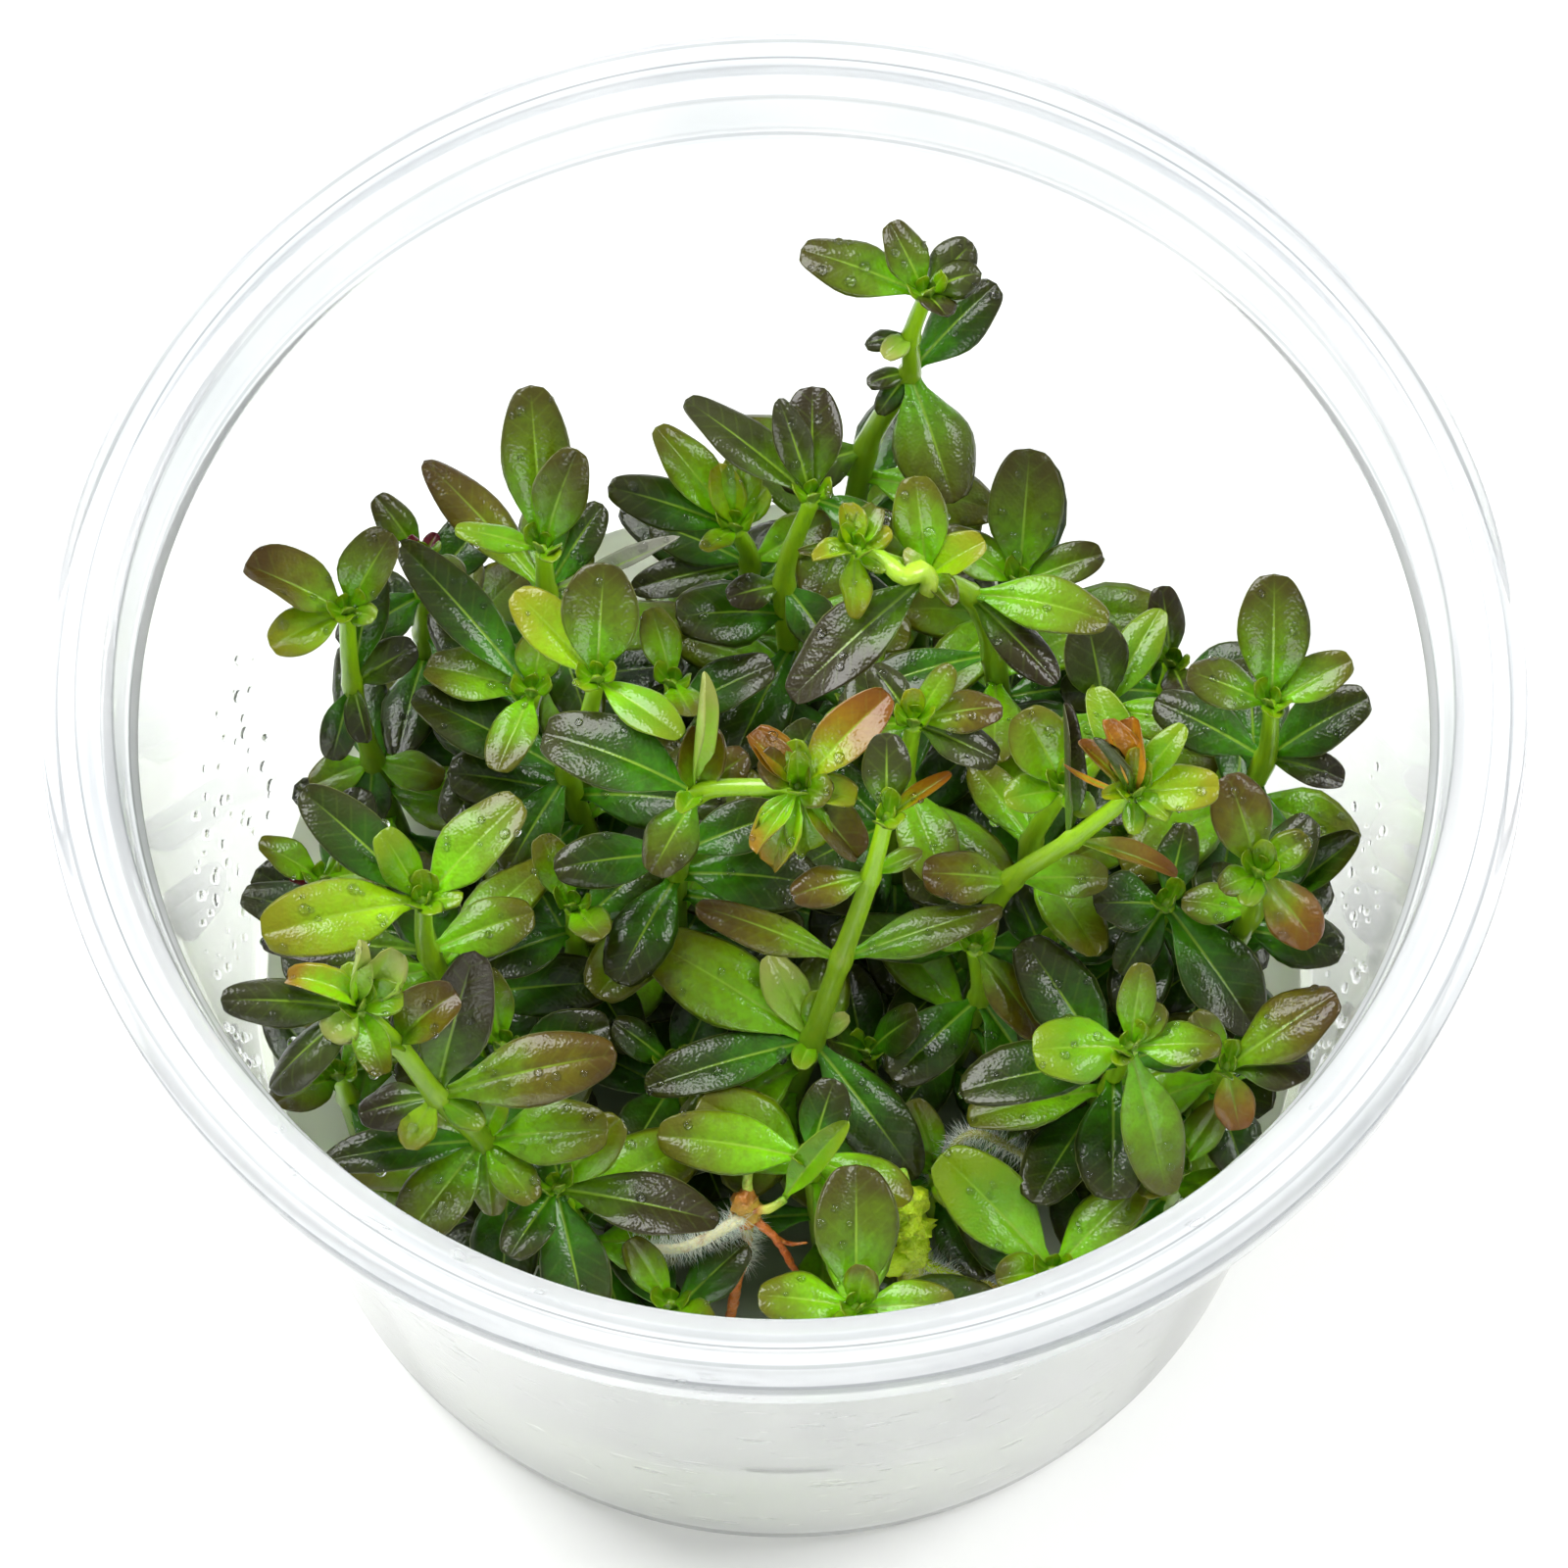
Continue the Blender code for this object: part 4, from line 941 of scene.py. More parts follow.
@dataclass(frozen=True)
class LeafFinish:
    """Wet leaf skin: bright at the stem, dark at the tip, with a pale midrib and margin.

    Sizes are in millimetres. A span is where a change starts and where it ends, along or across the blade or
    in a pattern's value, and a share is how much of another colour is mixed in.
    """

    name: str = "leaf_skin"
    roughness: float = 0.30
    cloud_rough: float = 0.16
    speck_rough: float = 0.10
    specular: float = 0.14
    coat: float = 0.58
    coat_roughness: float = 0.16
    cloud_size: float = 2.2
    cloud_drift: float = 0.5
    edge_lead: float = 0.12
    body_from: Span = (0.12, 0.68)
    tip_from: Span = (0.55, 1.02)
    speck_size: float = 0.5
    speck_level: Span = (0.35, 0.75)
    speck_share: float = 0.30
    vein_pitch: float = 1.3
    vein_lean: float = 0.9
    vein_level: Span = (0.75, 1.0)
    vein_fades: Span = (0.95, 0.6)
    vein_share: float = 0.045
    rib_half: Span = (0.19, 0.06)
    rib_taper: float = 0.10
    rib_fades: Span = (1.0, 0.5)
    rib_share: float = 0.70
    shade_from: Span = (0.80, 0.93)
    shade_starts: Span = (0.25, 0.6)
    shade_share: float = 0.35
    edge_from: Span = (0.955, 0.99)
    edge_starts: Span = (0.02, 0.2)
    edge_share: float = 0.40
    underside_share: float = 0.22
    grain_size: float = 0.22
    grain: float = 0.46
    pucker_size: float = 1.3
    pucker: float = 1.3
    vein_depth: float = 0.06
    relief: float = 0.12
    relief_strength: float = 0.55
    rib: Colour = linear(138, 176, 48)
    edge: Colour = linear(150, 160, 90)
    underside: Colour = linear(104, 124, 78)

    def make(self) -> Material:
        """Build the material.

        Returns:
            The material, which reads the attributes that BladeForm writes.
        """
        g = Graph(self.name)
        place = g.place()
        along, across, offset, run, below = map(g.attribute, ("along", "across", "offset", "run", "below"))
        across, offset = g.unsigned(across), g.unsigned(offset)
        base, body, tip = g.tints()
        cloud = g.noise(place, self.cloud_size, 2.0)
        speck = g.noise(place, self.speck_size, 1.0, 0.6)
        drift = g.times(g.minus(cloud, 0.5), self.cloud_drift)
        reach = g.plus(g.plus(along, drift), g.times(across, self.edge_lead))
        colour = g.mix(g.step(reach, *self.body_from), base, body)
        colour = g.mix(g.step(reach, *self.tip_from), colour, tip)
        colour = g.mix(g.step(speck, *self.speck_level, 0, self.speck_share), colour, tip)
        slant = g.minus(run, g.times(offset, self.vein_lean))
        comb = g.math("SINE", g.times(slant, math.tau / self.vein_pitch))
        vein = g.times(g.step(comb, *self.vein_level), g.step(across, *self.vein_fades))
        tapered = g.plus(offset, g.times(along, self.rib_taper))
        rib = g.times(g.step(tapered, *self.rib_half), g.step(along, *self.rib_fades))
        shade = g.times(g.step(across, *self.shade_from), g.step(along, *self.shade_starts))
        edge = g.times(g.step(across, *self.edge_from), g.step(along, *self.edge_starts))
        for mask, share, other in ((vein, self.vein_share, self.rib), (rib, self.rib_share, self.rib),
                                   (shade, self.shade_share, tip), (edge, self.edge_share, self.edge),
                                   (below, self.underside_share, self.underside)):
            colour = g.mix(g.times(mask, share), colour, other)
        height = g.plus(g.times(g.noise(place, self.grain_size, 0.0), self.grain),
                        g.times(g.noise(place, self.pucker_size, 1.0, 0.5), self.pucker))
        bent = g.bump(g.minus(height, g.times(vein, self.vein_depth)), self.relief, self.relief_strength)
        rough = g.plus(self.roughness, g.times(cloud, self.cloud_rough))
        rough = g.plus(rough, g.times(speck, self.speck_rough))
        return g.finish(Base_Color=colour, Roughness=rough, Normal=bent, Specular_IOR_Level=self.specular,
                        Coat_Weight=self.coat, Coat_Roughness=self.coat_roughness, Coat_Normal=bent)


@dataclass(frozen=True)
class Flesh:
    """What lies under a wet skin: how strong and how rough its coat is, and how light goes into it."""

    coat: float
    coat_roughness: float
    weight: float
    depth: float
    colours: Triple

    def inputs(self) -> dict[str, object]:
        """The shader's inputs for it, by name, with underscores for spaces."""
        return dict(Coat_Weight=self.coat, Coat_Roughness=self.coat_roughness,
                    Subsurface_Weight=self.weight, Subsurface_Radius=self.colours,
                    Subsurface_Scale=self.depth * MM)


@dataclass(frozen=True)
class StemFinish:
    """Juicy pale stem with fine lengthwise streaks.

    A level is a pattern's value where its colour starts and where it is full, and a share is how much of the
    colour is mixed in.
    """

    name: str = "stem_skin"
    roughness: Span = (0.28, 0.42)
    flesh: Flesh = Flesh(coat=0.4, coat_roughness=0.1, weight=0.25, depth=0.9, colours=(0.9, 1.1, 0.3))
    streak_size: float = 0.35
    streak_stretch: Triple = (1, 1, 0.12)
    streak_level: Span = (0.45, 0.8)
    streak_share: float = 0.35
    streak_relief: float = 0.06
    streak_strength: float = 0.6
    cloud_size: float = 2.6
    cloud_level: Span = (0.55, 0.85)
    cloud_share: float = 0.30
    streaked: Colour = linear(86, 140, 20)
    blotched: Colour = linear(150, 150, 40)

    def make(self) -> Material:
        """Build the material, which reads the attributes that TubeForm writes."""
        g = Graph(self.name)
        place = g.place()
        streak = g.noise(g.stretched(place, self.streak_stretch), self.streak_size, 2.0, 0.6)
        cloud = g.noise(place, self.cloud_size, 2.0)
        colour = g.tinted_along(start=0.0, middle=0.5, end=1.0)
        colour = g.mix(g.step(streak, *self.streak_level, 0, self.streak_share), colour, self.streaked)
        colour = g.mix(g.step(cloud, *self.cloud_level, 0, self.cloud_share), colour, self.blotched)
        return g.finish(Base_Color=colour, Roughness=g.step(streak, 0.2, 0.8, *self.roughness),
                        Normal=g.bump(streak, self.streak_relief, self.streak_strength),
                        **self.flesh.inputs())


@dataclass(frozen=True)
class RootFinish:
    """Root and callus skin: pale flesh that rusts in patches.

    Share is how much of the rust is mixed in, and grain is how large the lumps are.
    """

    name: str
    rust: Colour
    share: float
    grain: float
    roughness: Span = (0.3, 0.55)
    flesh: Flesh = Flesh(coat=0.25, coat_roughness=0.15, weight=0.3, depth=0.8, colours=(1.0, 0.8, 0.3))
    patch_size: float = 1.1
    patch_level: Span = (0.45, 0.7)
    relief: float = 0.32
    relief_strength: float = 0.9

    def make(self) -> Material:
        """Build the material, which reads the tube's own colours."""
        g = Graph(self.name)
        place = g.place()
        patch = g.noise(place, self.patch_size, 4.0, 0.65)
        lump = g.noise(place, self.grain, 2.0)
        rusty = g.times(g.step(patch, *self.patch_level), self.share)
        colour = g.mix(rusty, g.tinted_along(start=0.1, middle=0.5, end=0.95), self.rust)
        return g.finish(Base_Color=colour, Roughness=g.step(lump, 0.2, 0.8, *self.roughness),
                        Normal=g.bump(lump, self.relief, self.relief_strength), **self.flesh.inputs())


@dataclass(frozen=True)
class HairFinish:
    """Fine white root hairs."""

    name: str = "root_hair"
    roughness: float = 0.5
    flesh: float = 0.3
    flesh_depth: float = 0.3
    cloud_size: float = 1.5
    white: Colour = linear(250, 250, 240)
    pale: Colour = linear(232, 238, 206)

    def make(self) -> Material:
        """Build the material, with a little variation along the roots."""
        g = Graph(self.name)
        cloud = g.noise(g.place(), self.cloud_size, 2.0)
        return g.finish(Base_Color=g.mix(cloud, self.white, self.pale), Roughness=self.roughness,
                        Subsurface_Weight=self.flesh, Subsurface_Scale=self.flesh_depth * MM)


@dataclass(frozen=True)
class PlasticFinish:
    """Moulded clear plastic: a milky share, fine rings of painted shade, and a misted, scratched front.

    Clear and roughness are for the sides and the back, and the front has its own. The mist, the scratches and
    the mark lie by the Y axis, which points away from the front. The mark is placed along X and up Z, and its
    long and tall spans are where it ends and where it is full, away from its middle.
    """

    name: str
    clear: float
    roughness: float
    front_clear: float
    front_roughness: float
    colour: Colour
    rings: tuple[Triple, ...] = ()
    index: float = 1.28
    pale: Colour = linear(252, 253, 253)
    # The colour of the rings of painted shade.
    ring_shade: Colour = linear(128, 134, 138)
    mark: Colour = linear(150, 154, 150)
    milk_size: float = 14.0
    mark_place: Span = (0.3, 26.0)
    mark_long: Span = (3.8, 2.4)
    mark_tall: Span = (0.9, 0.3)
    mark_share: float = 0.8
    mist_from: Span = (12.0, -34.0)
    mist_size: float = 22.0
    mist_drift: float = 30.0
    scratch_from: Span = (-22.0, -32.0)
    scratch_size: float = 1.1
    scratch_lean: float = 32.0
    scratch_level: Span = (0.675, 0.73)
    scratch_stretch: Triple = (0.3, 0.3, 1.6)
    scratch_rough: float = 0.25
    scratch_depth: float = 0.16
    scratch_strength: float = 0.7
    ring_full: float = 0.4

    def make(self) -> Material:
        """Build the material; each of its rings, a line of painted shade, is a radius, a half width and a
        strength.
        """
        g = Graph(self.name)
        place = g.place()
        x, y, z = g.axes(place)
        front = g.step(y, *metres(self.scratch_from))
        flow = g.stretched(place, self.scratch_stretch, math.radians(self.scratch_lean))
        scratch = g.times(g.step(g.noise(flow, self.scratch_size, 2.0), *self.scratch_level), front)
        drift = g.times(g.minus(g.noise(place, self.mist_size, 1.0), 0.5), self.mist_drift * MM)
        misted = g.step(g.plus(y, drift), *metres(self.mist_from))
        clear = g.step(misted, 0, 1, self.clear, self.front_clear)
        rough = g.plus(g.step(misted, 0, 1, self.roughness, self.front_roughness),
                       g.times(scratch, self.scratch_rough))
        milk = g.mix(g.noise(place, self.milk_size, 1.0), self.colour, self.pale)
        # Painted shade: grey rings in the colour where the rim's moulded steps would refract the light.
        if self.rings:
            reach = g.radius(place)
            for radius, half, strength in self.rings:
                near = g.unsigned(g.minus(reach, radius * MM))
                ring = g.step(near, *metres((half, self.ring_full * half)), 0, strength)
                milk = g.mix(ring, milk, self.ring_shade)
        else:
            long, tall = (g.unsigned(g.minus(at, middle * MM)) for at, middle in zip((x, z), self.mark_place))
            mark = g.times(g.step(long, *metres(self.mark_long)), g.step(tall, *metres(self.mark_tall)))
            milk = g.mix(g.times(g.times(mark, front), self.mark_share), milk, self.mark)
        return g.finish(Base_Color=milk, Roughness=rough, IOR=self.index, Transmission_Weight=clear,
                        Normal=g.bump(scratch, self.scratch_depth, self.scratch_strength))


@dataclass(frozen=True)
class GelFinish:
    """Pale culture gel, cloudy and a little green, and darker on top in the shade of the plants."""

    name: str = "culture_gel_skin"
    roughness: float = 0.18
    flesh: Flesh = Flesh(coat=0.3, coat_roughness=0.05, weight=0.3, depth=2.0, colours=(1.0, 1.2, 0.8))
    cloud_size: float = 12.0
    ripple_size: float = 3.0
    ripple_height: float = 0.25
    ripple_strength: float = 0.4
    top_below: Span = (0.8, 0.1)
    top_share: float = 0.8
    shade_from: Span = (33.0, 24.0)
    shade_share: float = 0.85
    low: Colour = linear(206, 226, 156)
    high: Colour = linear(226, 236, 192)
    top: Colour = linear(244, 248, 234)
    shaded: Colour = linear(62, 84, 28)

    def make(self) -> Material:
        """Build the material, clouded by noise."""
        g = Graph(self.name)
        place = g.place()
        top = g.step(g.axes(place)[2], *metres(GEL_TOP - depth for depth in self.top_below))
        shade = g.times(top, g.step(g.radius(place), *metres(self.shade_from)))
        colour = g.mix(g.noise(place, self.cloud_size, 3.0), self.low, self.high)
        colour = g.mix(g.times(top, self.top_share), colour, self.top)
        colour = g.mix(g.times(shade, self.shade_share), colour, self.shaded)
        ripple = g.bump(g.noise(place, self.ripple_size, 2.0), self.ripple_height, self.ripple_strength)
        return g.finish(Base_Color=colour, Roughness=self.roughness, Normal=ripple, **self.flesh.inputs())


@dataclass(frozen=True)
class WaterFinish:
    """Clear water drops."""

    name: str = "water_drop"
    index: float = 1.33
    ripple_size: float = 0.6
    ripple_height: float = 0.01
    ripple_strength: float = 0.2

    def make(self) -> Material:
        """Build the material, plain but for a trace of ripple."""
        g = Graph(self.name)
        ripple = g.noise(g.place(), self.ripple_size, 1.0)
        return g.finish(Base_Color=(1, 1, 1), Roughness=0.0, IOR=self.index, Transmission_Weight=1.0,
                        Normal=g.bump(ripple, self.ripple_height, self.ripple_strength))


def hand_over(piece: Piece, slot: str, *nodes: str) -> None:
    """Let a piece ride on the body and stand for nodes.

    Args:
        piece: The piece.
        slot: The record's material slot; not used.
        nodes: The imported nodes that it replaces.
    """
    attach(piece, BODY)
    if nodes:
        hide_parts(*nodes)
    log.info("%s: %d faces", piece.name, len(piece.data.polygons))


def rounded(profile: Sequence[Span], reach: float, steps: int = 4, most: float = 0.45) -> list[Span]:
    """A profile with its corners rounded.

    Args:
        profile: Its (radius, height) points, whose ends stay.
        reach: How far from a corner its round starts, at most.
        steps: How many pieces each round has.
        most: The largest share of an edge that a round takes.

    Returns:
        The rounded profile.
    """
    points = [Vector(point) for point in profile]
    smooth = [points[0]]
    for before, corner, after in zip(points, points[1:], points[2:]):
        start, end = (corner + (other - corner).normalized() * min(reach, (other - corner).length * most)
                      for other in (before, after))
        for step in range(steps + 1):
            t = step / steps
            smooth.append(start * (1 - t) ** 2 + corner * (2 * t * (1 - t)) + end * t ** 2)
    smooth.append(points[-1])
    return [(point.x, point.y) for point in smooth]


def around(radii: np.ndarray, heights: np.ndarray, angles: np.ndarray) -> np.ndarray:
    """Corners about Z, ring by ring.

    Args:
        radii: Each ring's radius.
        heights: Each ring's height.
        angles: Where a ring has its corners, in radians.

    Returns:
        The corners in rows of X, Y and Z.
    """
    return np.stack([radii[:, None] * np.cos(angles), radii[:, None] * np.sin(angles),
                     np.repeat(heights[:, None], len(angles), axis=1)], axis=-1).reshape(-1, 3)


def turned(pile: Pile, profile: Sequence[Span], sides: int, level: float = math.inf) -> None:
    """Turn a profile about Z; its ends stand on the axis.

    Args:
        pile: Where the surface goes.
        profile: The (radius, height) points, from the bottom up the outside and down the inside.
        sides: How many sides the turned surface has.
        level: The height above which its faces take material slot 1.
    """
    angles = np.arange(sides) * math.tau / sides
    radii = np.array([radius for radius, _ in profile[1:-1]])
    heights = np.array([height for _, height in profile[1:-1]])
    rings = around(radii, heights, angles)
    ends = np.array([(0, 0, profile[0][1]), (0, 0, profile[-1][1])])
    points = np.concatenate([rings, ends])
    faces = ring_faces(len(radii), sides)
    first, last = len(rings), len(rings) + 1
    top = (len(radii) - 1) * sides
    faces += [((side + 1) % sides, side, first) for side in range(sides)]
    faces += [(top + side, top + (side + 1) % sides, last) for side in range(sides)]
    start = len(pile.slots)
    pile.add(points, faces)
    for index, face in enumerate(faces):
        pile.slots[start + index] = int(points[list(face), 2].mean() > level)


@dataclass(frozen=True)
class Cup:
    """The clear cup: a thin turned wall with a stepped shoulder, a rim flange and a collar.

    Each of the rim's fine rings, a line of painted shade, is a radius, a half width and a strength.
    """

    sides: int = 384
    corner: float = 0.45
    # The rings are painted shade: grey lines where the rim's moulded steps would refract the light.
    rings: tuple[Triple, ...] = (
        (44.35, 0.10, 0.5), (45.1, 0.10, 0.4), (46.7, 0.45, 0.25), (47.5, 0.10, 0.7), (48.8, 0.20, 0.5),
        (49.95, 0.10, 0.7))

    def profile(self) -> list[Span]:
        """The cup's section, as in the part's source: up the outside, over the rim, down the inside."""
        rim_top = CUP_HEIGHT - 0.7
        collar_foot = CUP_HEIGHT - COLLAR_DROP
        return [
            (0, 0), (FOOT_RADIUS, 0), (FOOT_RADIUS + 2 * WALL, 2 * WALL), (SHOULDER_RADIUS, SHOULDER_HEIGHT),
            (SHOULDER_RADIUS + WALL, SHOULDER_HEIGHT + 1), (SHOULDER_RADIUS + 1.3, CUP_HEIGHT - 1.4),
            (RIM_RADIUS - 1.1, CUP_HEIGHT - 1), (RIM_RADIUS - 1, collar_foot),
            (RIM_RADIUS - 0.3, collar_foot), (RIM_RADIUS, rim_top), (RIM_RADIUS - 0.6, CUP_HEIGHT),
            (RIM_RADIUS - 2.6, CUP_HEIGHT), (RIM_RADIUS - 3.5, rim_top), (RIM_RADIUS - 4.9, CUP_HEIGHT - 1),
            (SHOULDER_RADIUS - 0.1, SHOULDER_HEIGHT + 1.2), (SHOULDER_RADIUS - WALL, SHOULDER_HEIGHT),
            (FOOT_RADIUS + WALL, 2 * FLOOR), (FOOT_RADIUS - FOOT_INSET, FLOOR), (0, FLOOR),
        ]

    def build(self) -> Piece:
        """Make the cup and let it stand for its node.

        Returns:
            The cup.
        """
        pile = Pile()
        turned(pile, rounded(self.profile(), self.corner), self.sides, SHOULDER_HEIGHT - 0.5)
        wall = PlasticFinish("cup_wall", clear=0.91, roughness=0.02, front_clear=0.78, front_roughness=0.15,
                             colour=linear(244, 247, 245))
        rim = PlasticFinish("cup_rim", clear=0.64, roughness=0.05, front_clear=0.62, front_roughness=0.05,
                            colour=linear(220, 224, 227), rings=self.rings, index=1.2)
        cup = pile.build("culture_cup", (wall.make(), rim.make()))
        hand_over(cup, "clear_plastic", "cup")
        return cup


def inner_wall(height: float) -> float:
    """The radius of the cup's inner face at a height."""
    share = (height - 2 * FLOOR) / (SHOULDER_HEIGHT - 2 * FLOOR)
    return FOOT_RADIUS + WALL + share * (SHOULDER_RADIUS - WALL - FOOT_RADIUS - WALL)


@dataclass(frozen=True)
class Gel:
    """The layer of gel, which follows the cup's inside and climbs a little at its edge.

    Each row of the climb is how far in from the edge it is, and how far above the gel's top.
    """

    sides: int = 128
    corner: float = 0.3
    clear: float = GAP + 0.1
    climb: tuple[Span, ...] = ((0, 0.5), (0.5, 0.25), (1.5, 0))

    def build(self) -> Piece:
        """Make the gel and let it stand for its node.

        Returns:
            The gel.
        """
        edge = inner_wall(GEL_TOP) - self.clear
        profile = [(0, FLOOR + GAP), (FOOT_RADIUS - FOOT_INSET - self.clear, FLOOR + GAP),
                   (FOOT_RADIUS + WALL - self.clear, 2 * FLOOR + GAP),
                   *((edge - inward, GEL_TOP + up) for inward, up in self.climb), (0, GEL_TOP)]
        pile = Pile()
        turned(pile, rounded(profile, self.corner), self.sides)
        gel = pile.build("gel_layer", (GelFinish().make(),))
        hand_over(gel, "culture_gel", "gel")
        return gel


class PackedShoot:
    """Where a shoot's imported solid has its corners."""

    NEAR = 0.06

    def __init__(self, node: str) -> None:
        """Gather the corners of a node."""
        vertices = frame["nodes"][node].data.vertices
        self.corners = KDTree(len(vertices))
        for index, vertex in enumerate(vertices):
            self.corners.insert(vertex.co / MM, index)
        self.corners.balance()

    def settled(self, leaf: Leaf, foot: Vector) -> Leaf | None:
        """The shape that a leaf took in the solid, found by where its tip stands.

        Args:
            leaf: The leaf as the table lists it.
            foot: Its node on the stem.

        Returns:
            The leaf as it grew, or None where the solid has no such leaf.
        """
        for choice in given_way(leaf):
            tip = arc(choice, foot, 1.0)[0]
            if self.corners.find(tip)[2] < self.NEAR:
                return choice
        return None


@dataclass(frozen=True)
class Crowd:
    """What stands in the cup, so that an added leaf can keep clear of it and of the loose root."""

    solids: BVHTree
    added: list[tuple[Vector, BVHTree]] = field(default_factory=list)
    shares: tuple[float, ...] = (0.18, 0.4, 0.62, 0.82, 1.0)
    widths: tuple[float, ...] = (0.5, 0.9, 1.0, 0.8, 0.1)
    reaches: tuple[float, ...] = (-0.5, 0, 0.5)
    lifts: tuple[float, ...] = (-0.3, 0.3)
    middle: float = 0.6
    gel_room: float = 0.6
    wall_room: float = 0.5
    neighbour: float = 18.0
    root_x: float = -3.8
    root_back: float = -25.0
    root_room: float = 3.0

    @staticmethod
    def of_frame() -> "Crowd":
        """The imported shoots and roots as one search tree."""
        points, faces = [], []
        for name, thing in frame["nodes"].items():
            if name in ("cup", "gel"):
                continue
            start = len(points)
            points += [vertex.co / MM for vertex in thing.data.vertices]
            faces += [tuple(corner + start for corner in face.vertices) for face in thing.data.polygons]
        return Crowd(BVHTree.FromPolygons(points, faces))

    def has_room(self, leaf: Leaf, foot: Vector) -> bool:
        """Whether a leaf stands clear, in which case it joins the crowd.

        Args:
            leaf: The leaf.
            foot: Its node on the stem.

        Returns:
            Whether there is room for it.
        """
        corners, faces = [], []
        for share, width in zip(self.shares, self.widths):
            place, side, face = arc(leaf, foot, share)
            for reach in self.reaches:
                for lift in self.lifts:
                    corners.append(place + side * (leaf.width * width * reach) + face * lift)
        for corner in corners:
            reach = math.hypot(corner.x, corner.y)
            if corner.z < GEL_TOP + self.gel_room or reach > inner_wall(corner.z) - self.wall_room:
                return False
            if corner.y < self.root_back and abs(corner.x - self.root_x) < self.root_room:
                return False
        layers = len(self.lifts)
        across = len(self.reaches) * layers
        for row in range(len(self.shares) - 1):
            for corner in range(across - layers):
                low = row * across + corner
                faces.append((low, low + layers, low + across + layers, low + across))
        tree = BVHTree.FromPolygons(corners, faces)
        if tree.overlap(self.solids):
            return False
        middle = arc(leaf, foot, self.middle)[0]
        for other, grown in self.added:
            if (middle - other).length < self.neighbour and tree.overlap(grown):
                return False
        self.added.append((middle, tree))
        return True


